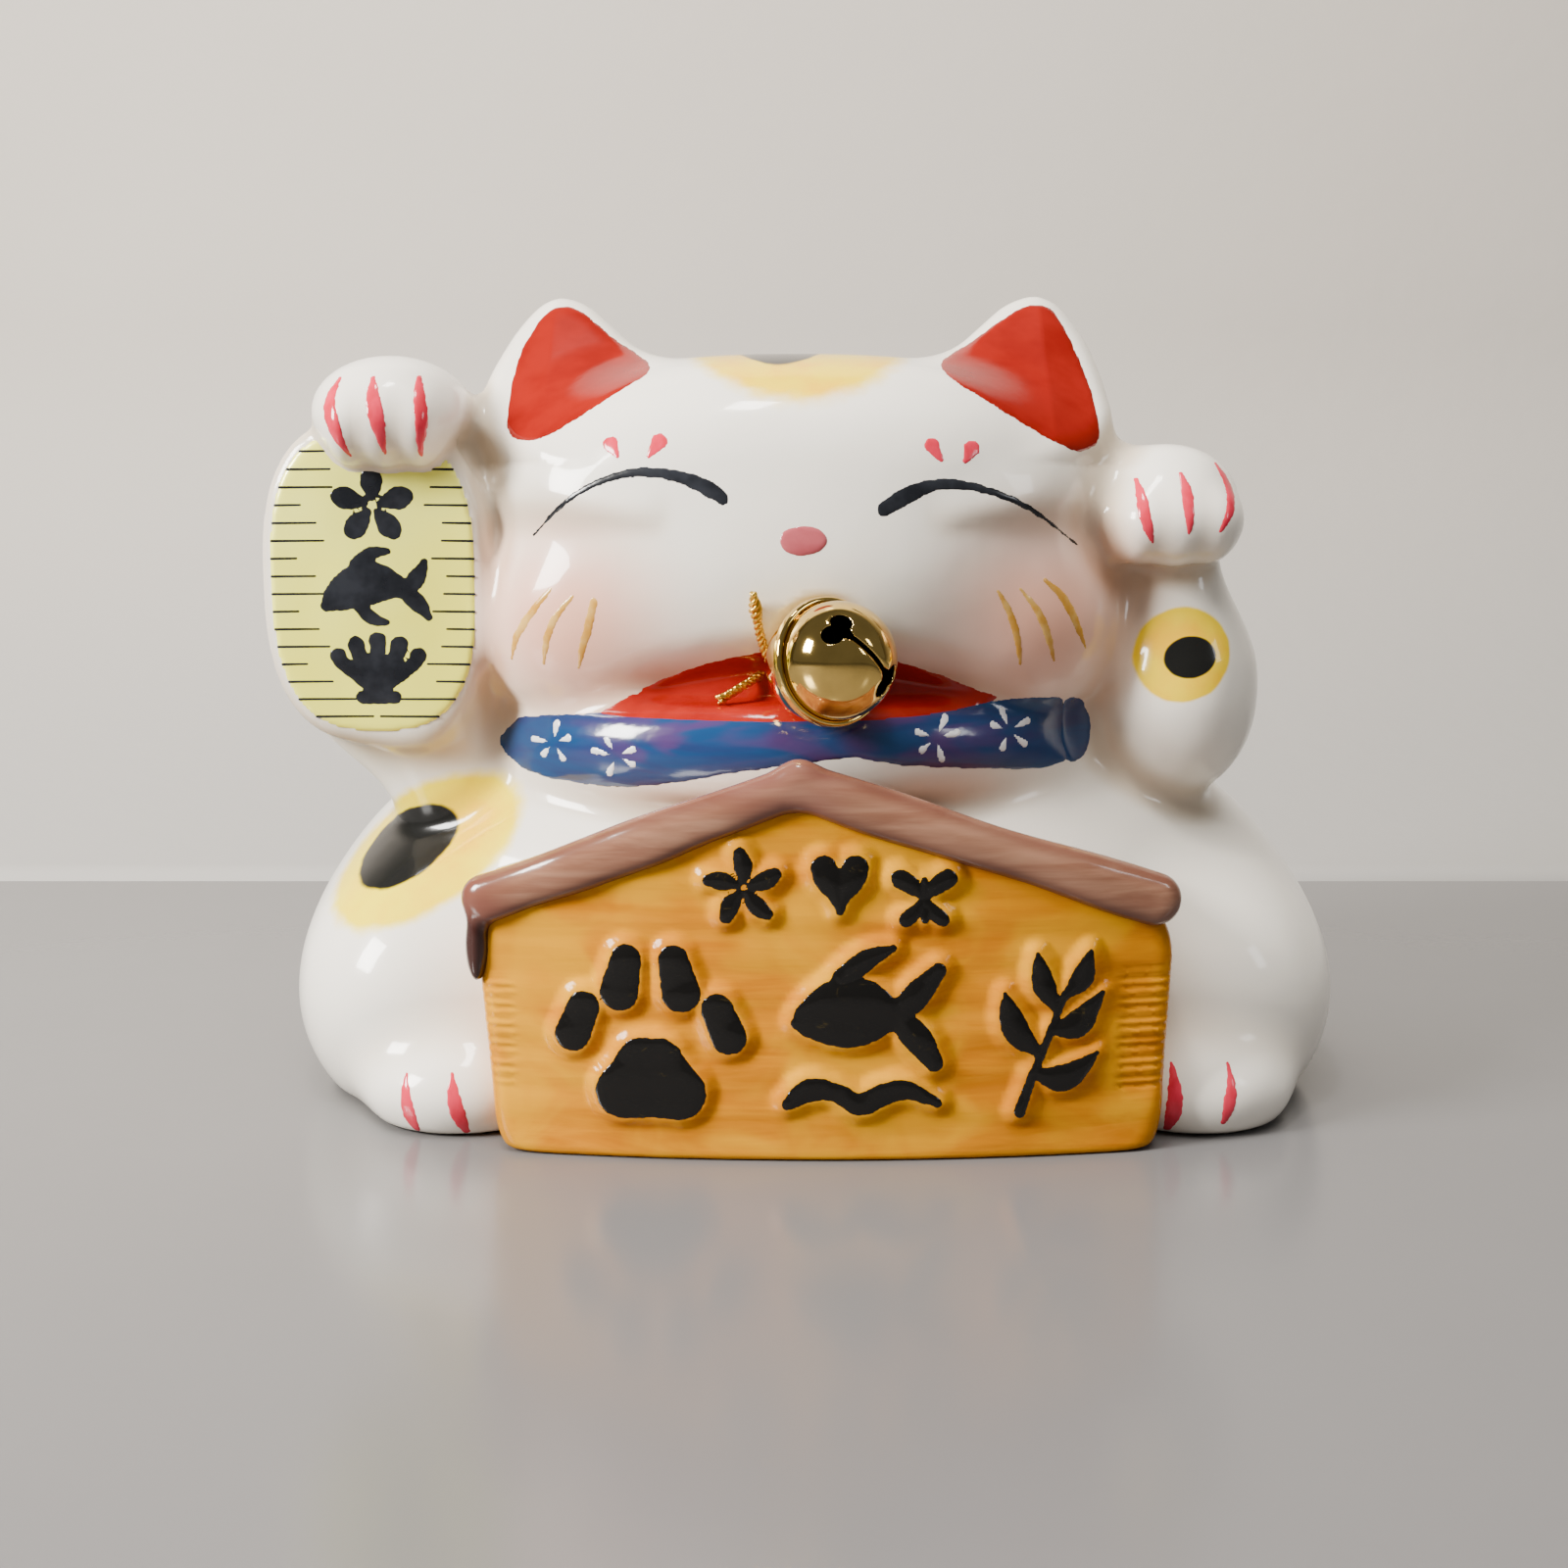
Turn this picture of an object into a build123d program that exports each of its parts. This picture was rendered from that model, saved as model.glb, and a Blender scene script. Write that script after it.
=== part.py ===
"""Beckoning cat coin bank.

A hollow slip-cast ceramic cat with both paws raised sits behind a gabled sign board.
A rubber stopper closes the hole in its base and a small bell hangs at its collar on a tied cord.
Millimetres, +Z up, the cat faces -Y, and the origin is the centre of its footprint on the table.
"""
import math
import os

from build123d import *

os.makedirs("parts", exist_ok=True)

# ---- driving dimensions ---------------------------------------------------------------
# body sections from the floor up: height, half width, half depth, centre in Y
BODY_SECTIONS = [
    (0.0, 66.0, 38.5, 5.0),
    (5.0, 72.5, 43.5, 4.5),
    (13.0, 75.0, 45.5, 4.0),
    (24.0, 72.5, 44.5, 4.0),
    (35.0, 65.0, 41.0, 4.0),
    (45.0, 52.5, 37.0, 3.5),
    (55.0, 42.0, 31.0, 2.5),
    (62.0, 36.0, 27.0, 1.0),
]
BODY_CAVITY = [
    (8.0, 64.0, 36.0, 4.5),
    (14.0, 70.0, 40.5, 4.0),
    (24.0, 67.5, 39.5, 4.0),
    (35.0, 58.0, 36.0, 4.0),
    (45.0, 45.5, 32.0, 3.5),
    (55.0, 36.0, 26.0, 2.5),
    (63.0, 32.0, 23.0, 0.0),
]
# head sections in the same form; the head sits a little to one side of the body
HEAD_X = -2.5
HEAD_SECTIONS = [
    (54.0, 31.0, 15.0, -2.0),
    (58.5, 39.5, 24.0, -2.0),
    (64.0, 43.0, 30.0, -2.0),
    (73.0, 44.0, 33.6, -2.0),
    (84.0, 43.2, 33.0, -2.0),
    (93.0, 39.5, 29.0, -2.0),
    (99.0, 32.0, 23.0, -2.0),
    (102.0, 25.0, 17.0, -2.0),
]
HEAD_CAVITY = [
    (60.0, 31.0, 21.0, -1.0),
    (66.0, 37.5, 26.5, -1.5),
    (73.0, 39.2, 28.8, -2.0),
    (84.0, 38.2, 28.3, -2.0),
    (92.0, 33.5, 24.0, -2.0),
    (97.0, 24.0, 16.0, -2.0),
]
HEAD_TOP_ROUND = 2.0

FOOT_PLACES = [(-54.5, -25.0, 6.5), (55.0, -25.0, 6.5)]
FOOT_RADII = (13.5, 14.0, 9.5)

# raised arm with the flat tablet: tablet slab, then centre and radii of the arm and the paw
TABLET_X, TABLET_Z = -58.6, 69.6
TABLET_WIDTH, TABLET_HEIGHT, TABLET_CORNER = 30.4, 43.6, 14.6
TABLET_FRONT, TABLET_DEPTH, TABLET_EDGE = 22.0, 13.0, 3.0
TABLET_ARM = ((-57.5, -9.5, 65.0), (16.5, 11.0, 27.0))
TABLET_PAW = ((-56.0, -19.0, 92.4), (11.0, 10.5, 7.8))
TABLET_ELBOW = ((-53.0, -11.0, 47.0), (12.5, 11.0, 11.0))

# the other raised arm: elbow, paw and the wrist that joins them
ELBOW = ((50.8, -12.0, 55.0), (12.3, 12.5, 14.0))
BENT_PAW = ((48.2, -16.5, 81.0), (10.2, 10.8, 8.4))
WRIST_LOW, WRIST_HIGH, WRIST_RADII = (50.2, -12.5, 58.0), (48.8, -14.5, 80.0), (9.4, 6.6)

# ears: corners as distance out from the head's centre line, and height
EAR_CORNERS = [(42.0, 80.0), (44.2, 96.0), (33.6, 112.0), (17.0, 99.5), (20.0, 84.0)]
EAR_CORNER_ROUND, EAR_EDGE_ROUND = 3.5, 3.0
EAR_FRONT, EAR_DEPTH = 12.5, 13.0

# coin slot in the back of the head, hole and recess in the base, cord holes in the neck
SLOT_LENGTH, SLOT_HEIGHT, SLOT_Z = 34.0, 5.0, 80.0
BASE_HOLE_R, RECESS_R, RECESS_DEPTH = 16.0, 20.0, 3.0
CORD_HOLE_R, CORD_HOLE_Z = 0.9, 58.9
CORD_HOLE_XS = (-6.4, -1.3)

# sign board and roof, moulded on the front; both bow slightly forward
BOARD_FRONT, BOARD_BACK, BOARD_BOW_R = 47.6, 24.0, 230.0
BOARD_CORNERS = [(-38.2, 0.0), (-40.8, 31.5), (-3.9, 45.6), (43.2, 30.6), (41.4, 0.0)]
BOARD_CORNER_ROUND, BOARD_EDGE_ROUND = 2.5, 1.4
ROOF_LINE = [(-40.1, 33.0), (-3.9, 46.2), (40.9, 33.0)]
ROOF_THICK, ROOF_PROUD, ROOF_EDGE_ROUND = 7.2, 1.8, 1.6
MARK_PROUD = 0.9

# neck band: height, half width, half depth, centre in Y; it ends beside each arm
BAND_SECTIONS = [
    (44.8, 50.6, 40.2, 3.5),
    (47.5, 49.0, 41.6, 3.5),
    (50.5, 46.0, 40.2, 3.2),
    (52.6, 42.5, 36.6, 2.6),
    (54.2, 40.0, 32.2, 2.0),
]
BAND_LEFT, BAND_RIGHT, BAND_BACK = -41.5, 36.0, -14.0
BIB_SECTIONS = [
    (53.0, 38.0, 33.6, 2.6),
    (55.0, 38.5, 32.0, 2.2),
    (57.0, 37.0, 30.4, 1.4),
    (58.6, 35.0, 28.2, 0.6),
    (60.6, 33.0, 26.4, -0.4),
]
BIB_LEFT, BIB_RIGHT = -26.5, 22.5

# foil on the tablet
FOIL_WIDTH, FOIL_HEIGHT, FOIL_CORNER, FOIL_THICK = 26.4, 38.4, 12.6, 0.15

# rubber stopper
STOPPER_GAP, STOPPER_FLANGE_R, STOPPER_FLANGE_T, STOPPER_TOP = 0.05, 18.6, 1.8, 10.5

# bell: two spun halves joined at a rolled rim; the pole with the slit is turned to one side
BELL_R, BELL_STRETCH, BELL_SHEET = 7.3, 3.0, 0.4
BELL_RIM_R, BELL_RIM_T = 8.15, 1.4
BELL_CENTRE = (1.5, -40.8, 60.8)
BELL_TURN, BELL_RISE, BELL_ROLL = 32.0, 10.0, -45.0
SLIT_WIDTH, HEART_REACH, HEART_LOBE_R, HEART_LENGTH = 0.7, 4.1, 1.15, 3.6
SHANK_R, SHANK_GAP, EYE_R, EYE_WIRE_R, EYE_STANDOFF = 0.5, 0.08, 1.35, 0.4, 0.3
PELLET_R, PELLET_DROP = 2.4, 4.2

# cord
CORD_R = 0.5
CORD_TAIL_TIP, CORD_TOP_TIP = (-12.6, -33.4, 55.4), (-8.1, -38.4, 69.2)
CORD_HEADING, CORD_INSIDE_Y = 10.0, -20.5


def stack(sections, centre_x=0.0):
    """A smooth solid through level ellipses."""
    with BuildPart() as body:
        for height, half_width, half_depth, centre_y in sections:
            with BuildSketch(Plane.XY.offset(height)):
                with Locations((centre_x, centre_y)):
                    Ellipse(half_width, half_depth)
        loft()
    return body.part


def egg(centre, radii):
    """An ellipsoid with level axes."""
    with BuildPart() as body:
        Sphere(10.0)
        scale(by=tuple(r / 10.0 for r in radii))
    return body.part.moved(Location(centre))


def bow_cylinder(front):
    """An upright cylinder whose foremost line is `front` ahead of the origin."""
    with BuildPart() as body:
        with Locations((0.0, BOARD_BOW_R - front, 30.0)):
            Cylinder(BOARD_BOW_R, 120.0)
    return body.part


# ---- the ceramic casting --------------------------------------------------------------
with BuildPart() as tablet:
    with BuildSketch(Plane.XZ.offset(TABLET_FRONT - TABLET_DEPTH)):
        with Locations((TABLET_X, TABLET_Z)):
            RectangleRounded(TABLET_WIDTH, TABLET_HEIGHT, TABLET_CORNER)
    extrude(amount=TABLET_DEPTH)
    fillet(tablet.edges().group_by(Axis.Y)[0], TABLET_EDGE)

wrist_run = Vector(WRIST_HIGH) - Vector(WRIST_LOW)
with BuildPart() as wrist:
    with BuildSketch(Plane(WRIST_LOW, z_dir=wrist_run)):
        Circle(WRIST_RADII[0])
    with BuildSketch(Plane(WRIST_HIGH, z_dir=wrist_run)):
        Circle(WRIST_RADII[1])
    loft()

ears = []
for side in (-1, 1):
    with BuildPart() as ear:
        with BuildSketch(Plane.XZ.offset(EAR_FRONT - EAR_DEPTH)) as ear_outline:
            with BuildLine():
                Polyline([(HEAD_X + side * out, up) for out, up in EAR_CORNERS], close=True)
            make_face()
            fillet(ear_outline.vertices(), EAR_CORNER_ROUND)
        extrude(amount=EAR_DEPTH)
        fillet(ear.edges().group_by(Axis.Y)[0] + ear.edges().group_by(Axis.Y)[-1], EAR_EDGE_ROUND)
    ears.append(ear.part)

with BuildPart() as outer_form:
    add(stack(BODY_SECTIONS))
    for place in FOOT_PLACES:
        add(egg(place, FOOT_RADII))
    add(stack(HEAD_SECTIONS, HEAD_X))
    add(tablet.part)
    add(egg(*TABLET_ARM))
    add(egg(*TABLET_PAW))
    add(egg(*TABLET_ELBOW))
    add(egg(*ELBOW))
    add(egg(*BENT_PAW))
    add(wrist.part)
    for ear_part in ears:
        add(ear_part)
    with Locations((0, 0, -20)):
        Box(300, 300, 40, mode=Mode.SUBTRACT)

with BuildPart() as cat_shell:
    add(outer_form.part)
    add(stack(BODY_CAVITY), mode=Mode.SUBTRACT)
    add(stack(HEAD_CAVITY, HEAD_X), mode=Mode.SUBTRACT)
    with Locations((0, 0, 5.0)):
        Cylinder(BASE_HOLE_R, 12.0, mode=Mode.SUBTRACT)
    with Locations((0, 0, RECESS_DEPTH / 2 - 1)):
        Cylinder(RECESS_R, RECESS_DEPTH + 2, mode=Mode.SUBTRACT)
    with Locations((HEAD_X, 30.0, SLOT_Z)):
        Box(SLOT_LENGTH, 30.0, SLOT_HEIGHT, mode=Mode.SUBTRACT)
    for hole_x in CORD_HOLE_XS:
        with Locations((hole_x, -26.0, CORD_HOLE_Z)):
            Cylinder(CORD_HOLE_R, 20.0, rotation=(90, 0, 0), mode=Mode.SUBTRACT)
cat_shell.part.label = "cat_shell"
export_step(cat_shell.part, "parts/cat_shell.step")

# ---- sign board, roof and raised ornaments, glazed in their own colours -----------------
with BuildPart() as sign_roof:
    with BuildSketch(Plane.XZ.offset(BOARD_BACK)):
        for (x0, z0), (x1, z1) in zip(ROOF_LINE, ROOF_LINE[1:]):
            run = math.hypot(x1 - x0, z1 - z0)
            with Locations(((x0 + x1) / 2, (z0 + z1) / 2)):
                SlotCenterToCenter(run, ROOF_THICK, rotation=math.degrees(math.atan2(z1 - z0, x1 - x0)))
    extrude(amount=40.0)
    add(bow_cylinder(BOARD_FRONT + ROOF_PROUD), mode=Mode.INTERSECT)
    fillet(sign_roof.edges().group_by(Axis.Y)[0], ROOF_EDGE_ROUND)
    add(outer_form.part, mode=Mode.SUBTRACT)
sign_roof.part.label = "sign_roof"
export_step(sign_roof.part, "parts/sign_roof.step")

with BuildPart() as sign_board:
    with BuildSketch(Plane.XZ.offset(BOARD_BACK)) as board_outline:
        with BuildLine():
            Polyline(BOARD_CORNERS, close=True)
        make_face()
        fillet(board_outline.vertices().group_by(Axis.Y)[0], BOARD_CORNER_ROUND)
    extrude(amount=40.0)
    add(bow_cylinder(BOARD_FRONT), mode=Mode.INTERSECT)
    add(outer_form.part, mode=Mode.SUBTRACT)
    add(sign_roof.part, mode=Mode.SUBTRACT)
sign_board.part.label = "sign_board"
export_step(sign_board.part, "parts/sign_board.step")


def stroke(start, end, start_r, end_r):
    """One tapering brush stroke, drawn flat."""
    with BuildSketch() as sketch:
        with Locations(start):
            Circle(start_r)
        with Locations(end):
            Circle(end_r)
        make_hull()
    return sketch.sketch


def raised_mark(name, centre, strokes):
    """A raised ornament on the bowed board, made of brush strokes about its centre."""
    with BuildSketch() as flat:
        for start, end, start_r, end_r in strokes:
            with Locations(centre):
                add(stroke(start, end, start_r, end_r))
    with BuildPart() as mark:
        with BuildSketch(Plane.XZ.offset(BOARD_BACK)):
            add(flat.sketch)
        extrude(amount=40.0)
        add(bow_cylinder(BOARD_FRONT + MARK_PROUD), mode=Mode.INTERSECT)
        add(bow_cylinder(BOARD_FRONT), mode=Mode.SUBTRACT)
        add(sign_roof.part, mode=Mode.SUBTRACT)
    mark.part.label = name
    export_step(mark.part, "parts/" + name + ".step")
    return mark.part


# each stroke: start, end, start radius, end radius, about the ornament's own centre
PAW_PRINT = [
    ((-3.0, -6.2), (3.0, -6.2), 4.1, 4.1), ((-0.9, -2.8), (0.9, -2.8), 3.4, 3.4),
    ((-9.3, 0.8), (-8.0, 3.6), 2.4, 2.0), ((-3.6, 6.2), (-2.9, 9.4), 2.5, 2.0),
    ((3.6, 6.2), (2.9, 9.4), 2.5, 2.0), ((9.3, 0.8), (8.0, 3.6), 2.4, 2.0),
]
FISH = [
    ((-7.4, 1.8), (-1.6, 2.8), 1.4, 4.8), ((-1.6, 2.8), (4.0, 2.2), 4.8, 1.6),
    ((4.0, 2.2), (8.6, 7.2), 1.5, 1.8), ((4.0, 2.2), (8.4, -3.0), 1.5, 2.0),
    ((-1.8, 7.4), (2.8, 10.4), 1.6, 0.9),
    ((-8.4, -8.2), (-4.2, -6.6), 1.3, 1.2), ((-4.2, -6.6), (0.4, -8.4), 1.2, 1.3),
    ((0.4, -8.4), (4.8, -6.8), 1.3, 1.2), ((4.8, -6.8), (8.6, -8.2), 1.2, 0.8),
]
SPRIG = [
    ((-3.4, -9.4), (-1.2, -3.4), 0.7, 0.6), ((-1.2, -3.4), (1.6, 4.4), 0.6, 0.5),
    ((-1.8, -4.8), (2.2, -5.2), 0.5, 1.7), ((2.2, -5.2), (5.6, -3.0), 1.7, 0.4),
    ((-1.0, -2.4), (-4.2, 0.6), 0.5, 1.8), ((-4.2, 0.6), (-5.4, 4.6), 1.8, 0.4),
    ((0.2, 0.6), (3.6, 1.4), 0.5, 1.8), ((3.6, 1.4), (6.2, 4.4), 1.8, 0.4),
    ((1.0, 3.0), (-0.8, 6.6), 0.5, 1.5), ((-0.8, 6.6), (-1.4, 9.6), 1.5, 0.4),
    ((1.6, 4.4), (4.0, 7.0), 0.5, 1.5), ((4.0, 7.0), (4.8, 9.8), 1.5, 0.4),
]
BLOSSOM = [
    ((0.5 * math.cos(turn), 0.5 * math.sin(turn)), (4.0 * math.cos(turn), 4.0 * math.sin(turn)), 0.5, 1.3)
    for turn in [math.radians(90 + 72 * k) for k in range(5)]
]
HEART = [((-1.6, 1.6), (0.0, -3.2), 1.8, 0.5), ((1.6, 1.6), (0.0, -3.2), 1.8, 0.5)]
BUTTERFLY = [((0.0, 2.0), (0.0, -2.4), 0.45, 0.45)]
for wing in (-1, 1):
    BUTTERFLY.append(((0.4 * wing, 0.4), (2.6 * wing, 2.2), 0.5, 1.4))
    BUTTERFLY.append(((0.4 * wing, -0.4), (2.0 * wing, -2.2), 0.5, 1.1))
raised_mark("mark_paw", (-20.6, 15.4), PAW_PRINT)
raised_mark("mark_fish", (5.4, 16.2), FISH)
raised_mark("mark_sprig", (28.2, 15.8), SPRIG)
raised_mark("mark_blossom", (-9.2, 34.2), BLOSSOM)
raised_mark("mark_heart", (2.4, 35.2), HEART)
raised_mark("mark_butterfly", (12.6, 32.8), BUTTERFLY)

# ---- neck band and red bib, moulded round the front of the neck ----------------------------
with BuildPart() as collar_band:
    add(stack(BAND_SECTIONS))
    with Locations(((BAND_LEFT + BAND_RIGHT) / 2, BAND_BACK - 30.0, 50.0)):
        Box(BAND_RIGHT - BAND_LEFT, 60.0, 40.0, mode=Mode.INTERSECT)
    add(outer_form.part, mode=Mode.SUBTRACT)
    add(sign_roof.part, mode=Mode.SUBTRACT)
    add(sign_board.part, mode=Mode.SUBTRACT)
collar_band.part.label = "collar_band"
export_step(collar_band.part, "parts/collar_band.step")

with BuildPart() as bib:
    add(stack(BIB_SECTIONS))
    with Locations(((BIB_LEFT + BIB_RIGHT) / 2, -40.0, 56.0)):
        Box(BIB_RIGHT - BIB_LEFT, 60.0, 20.0, mode=Mode.INTERSECT)
    add(outer_form.part, mode=Mode.SUBTRACT)
    add(collar_band.part, mode=Mode.SUBTRACT)
    for hole_x in CORD_HOLE_XS:
        with Locations((hole_x, -26.0, CORD_HOLE_Z)):
            Cylinder(CORD_HOLE_R, 20.0, rotation=(90, 0, 0), mode=Mode.SUBTRACT)
bib.part.label = "bib"
export_step(bib.part, "parts/bib.step")

# ---- foil on the tablet --------------------------------------------------------------------
with BuildPart() as koban_foil:
    with BuildSketch(Plane.XZ.offset(TABLET_FRONT)):
        with Locations((TABLET_X + 0.3, TABLET_Z + 0.2)):
            RectangleRounded(FOIL_WIDTH, FOIL_HEIGHT, FOIL_CORNER)
    extrude(amount=FOIL_THICK)
    add(outer_form.part, mode=Mode.SUBTRACT)
koban_foil.part.label = "koban_foil"
export_step(koban_foil.part, "parts/koban_foil.step")

# ---- rubber stopper in the base ------------------------------------------------------------
flange_top = RECESS_DEPTH - STOPPER_GAP
flange_low = flange_top - STOPPER_FLANGE_T
plug_r = BASE_HOLE_R - STOPPER_GAP
with BuildPart() as base_stopper:
    with BuildSketch(Plane.XZ):
        with BuildLine():
            Polyline(
                (0, flange_low), (STOPPER_FLANGE_R, flange_low), (STOPPER_FLANGE_R, flange_top),
                (plug_r, flange_top), (plug_r, STOPPER_TOP - 1.5), (plug_r - 1.5, STOPPER_TOP),
                (plug_r - 3.5, STOPPER_TOP), (plug_r - 3.5, flange_top + 1.0), (0, flange_top + 1.0),
                close=True,
            )
        make_face()
    revolve(axis=Axis.Z)
    fillet(base_stopper.edges().filter_by(GeomType.CIRCLE).group_by(Axis.Z)[0], 0.5)
base_stopper.part.label = "base_stopper"
export_step(base_stopper.part, "parts/base_stopper.step")

# ---- bell, drawn upright about its own axis with the slit on top, then turned into place ------
turn, rise = math.radians(BELL_TURN), math.radians(BELL_RISE)
bell_axis = Vector(math.sin(turn) * math.cos(rise), -math.cos(turn) * math.cos(rise), math.sin(rise))
bell_place = Plane(BELL_CENTRE, x_dir=Vector(0, 0, 1).cross(bell_axis), z_dir=bell_axis).location
half = BELL_STRETCH / 2
inner_r = BELL_R - BELL_SHEET
LOW = (Align.CENTER, Align.CENTER, Align.MIN)
HIGH = (Align.CENTER, Align.CENTER, Align.MAX)

with BuildPart() as bell_front:
    Cylinder(BELL_R, half, align=LOW)
    with Locations((0, 0, half)):
        Sphere(BELL_R, arc_size1=0, align=LOW)
    Cylinder(inner_r, half, align=LOW, mode=Mode.SUBTRACT)
    with Locations((0, 0, half)):
        Sphere(inner_r, arc_size1=0, align=LOW, mode=Mode.SUBTRACT)
    with BuildSketch(Plane.XY.offset(half + 2.0)):
        with Locations(Location((0, 0), BELL_ROLL)):
            Rectangle(2 * HEART_REACH, SLIT_WIDTH)
        for facing in (BELL_ROLL, BELL_ROLL + 180):
            with Locations(Location((0, 0), facing)):
                with Locations((HEART_REACH + 0.5, 0.95), (HEART_REACH + 0.5, -0.95)):
                    Circle(HEART_LOBE_R)
                with Locations((HEART_REACH - 0.4, 0)):
                    Circle(HEART_LOBE_R)
    extrude(amount=10.0, mode=Mode.SUBTRACT)
bell_front_placed = bell_front.part.moved(bell_place)
bell_front_placed.label = "bell_front"
export_step(bell_front_placed, "parts/bell_front.step")

with BuildPart() as bell_back:
    Cylinder(BELL_R, half, align=HIGH)
    with Locations((0, 0, -half)):
        Sphere(BELL_R, arc_size2=0, align=HIGH)
    with Locations((0, 0, -BELL_RIM_T / 2)):
        Cylinder(BELL_RIM_R, BELL_RIM_T)
    fillet(bell_back.edges().filter_by(GeomType.CIRCLE).sort_by(SortBy.RADIUS)[-2:], BELL_RIM_T * 0.45)
    Cylinder(inner_r, half, align=HIGH, mode=Mode.SUBTRACT)
    with Locations((0, 0, -half)):
        Sphere(inner_r, arc_size2=0, align=HIGH, mode=Mode.SUBTRACT)
    Cylinder(SHANK_R + SHANK_GAP, 20.0, align=HIGH, mode=Mode.SUBTRACT)
bell_back_placed = bell_back.part.moved(bell_place)
bell_back_placed.label = "bell_back"
export_step(bell_back_placed, "parts/bell_back.step")

back_pole = half + BELL_R
eye_distance = back_pole + EYE_STANDOFF + EYE_R + EYE_WIRE_R
with BuildPart() as bell_loop:
    with Locations((0, 0, -(eye_distance - EYE_R))):
        Cylinder(SHANK_R, eye_distance - EYE_R - back_pole + BELL_SHEET + 0.6, align=LOW)
    with Locations((0, 0, -(back_pole - BELL_SHEET - 0.6))):
        Cylinder(1.3, 0.6)
    with Locations(Location((0, 0, -eye_distance), (0, 90, 0))):
        Torus(EYE_R, EYE_WIRE_R)
bell_loop_placed = bell_loop.part.moved(bell_place)
bell_loop_placed.label = "bell_loop"
export_step(bell_loop_placed, "parts/bell_loop.step")
eye = Vector(BELL_CENTRE) - bell_axis * eye_distance

with BuildPart() as bell_pellet:
    with Locations(Vector(BELL_CENTRE) - Vector(0, 0, PELLET_DROP)):
        Sphere(PELLET_R)
bell_pellet.part.label = "bell_pellet"
export_step(bell_pellet.part, "parts/bell_pellet.step")
# ---- cord: in through one neck hole, across the inside, out of the other and through the bell's eye --
thread = Vector(math.cos(math.radians(CORD_HEADING)), math.sin(math.radians(CORD_HEADING)), 0)
right_turn = eye + thread * 2.9
left_turn = eye - thread * 3.0
cord_points = [
    CORD_TAIL_TIP,
    (CORD_HOLE_XS[0], right_turn.Y + 0.6, CORD_HOLE_Z),
    (CORD_HOLE_XS[0], CORD_INSIDE_Y, CORD_HOLE_Z),
    (right_turn.X, CORD_INSIDE_Y, CORD_HOLE_Z),
    right_turn,
    left_turn,
    CORD_TOP_TIP,
]
cord_bends = [1.0, 1.5, 1.5, 1.0, 1.2]
with BuildLine() as cord_line:
    FilletPolyline(*cord_points, radius=cord_bends)
with BuildPart() as cord:
    with BuildSketch(Plane(cord_line.line @ 0, z_dir=cord_line.line % 0)):
        Circle(CORD_R)
    sweep(path=cord_line.line)
cord.part.label = "cord"
export_step(cord.part, "parts/cord.step")
section = math.pi * CORD_R ** 2
cord_length = sum(edge.length for edge in cord_line.edges())
print("cord length", round(cord_length, 2), "bends", cord_bends)
print("cord volume over section times length", round(cord.part.volume / (section * cord_length), 4))
print("bell eye", [round(v, 2) for v in eye], "bell axis", [round(v, 4) for v in bell_axis])
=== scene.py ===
import functools
import math

import bpy
import numpy as np
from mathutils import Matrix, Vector


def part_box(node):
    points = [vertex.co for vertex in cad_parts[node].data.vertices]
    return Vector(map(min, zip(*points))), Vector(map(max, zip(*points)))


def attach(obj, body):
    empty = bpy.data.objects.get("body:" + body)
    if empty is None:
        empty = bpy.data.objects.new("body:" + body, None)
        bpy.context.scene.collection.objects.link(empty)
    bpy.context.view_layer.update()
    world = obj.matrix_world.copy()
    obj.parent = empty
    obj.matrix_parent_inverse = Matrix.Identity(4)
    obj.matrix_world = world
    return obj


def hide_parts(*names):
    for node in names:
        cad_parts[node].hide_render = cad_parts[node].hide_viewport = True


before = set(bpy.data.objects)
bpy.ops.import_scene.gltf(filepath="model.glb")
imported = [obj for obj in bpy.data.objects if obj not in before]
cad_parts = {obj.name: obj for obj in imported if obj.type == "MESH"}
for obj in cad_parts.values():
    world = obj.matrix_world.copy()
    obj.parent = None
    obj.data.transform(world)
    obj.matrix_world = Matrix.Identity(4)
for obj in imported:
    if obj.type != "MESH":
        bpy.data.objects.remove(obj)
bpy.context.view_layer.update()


# Shapes are worked out in millimetres on the CAD model's own axes. MM takes them to metres.
CAT_WIDTH = 150.0
cat_low, cat_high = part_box("cat_shell")
MM = (cat_high.x - cat_low.x) / CAT_WIDTH


# ---- camera
camera = bpy.data.objects.new("camera", bpy.data.cameras.new("camera"))
camera.data.lens, camera.data.sensor_width = 38.8, 36
camera.location = (-4.3 * MM, -248.6 * MM, 74.5 * MM)
camera.rotation_euler = (math.radians(82.1), 0, 0)
camera.data.clip_start = 0.005
bpy.context.scene.collection.objects.link(camera)
bpy.context.scene.camera = camera


# ---- material nodes
def even(cycles):
    """One number for all three axes."""
    return (cycles,) * 3


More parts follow.
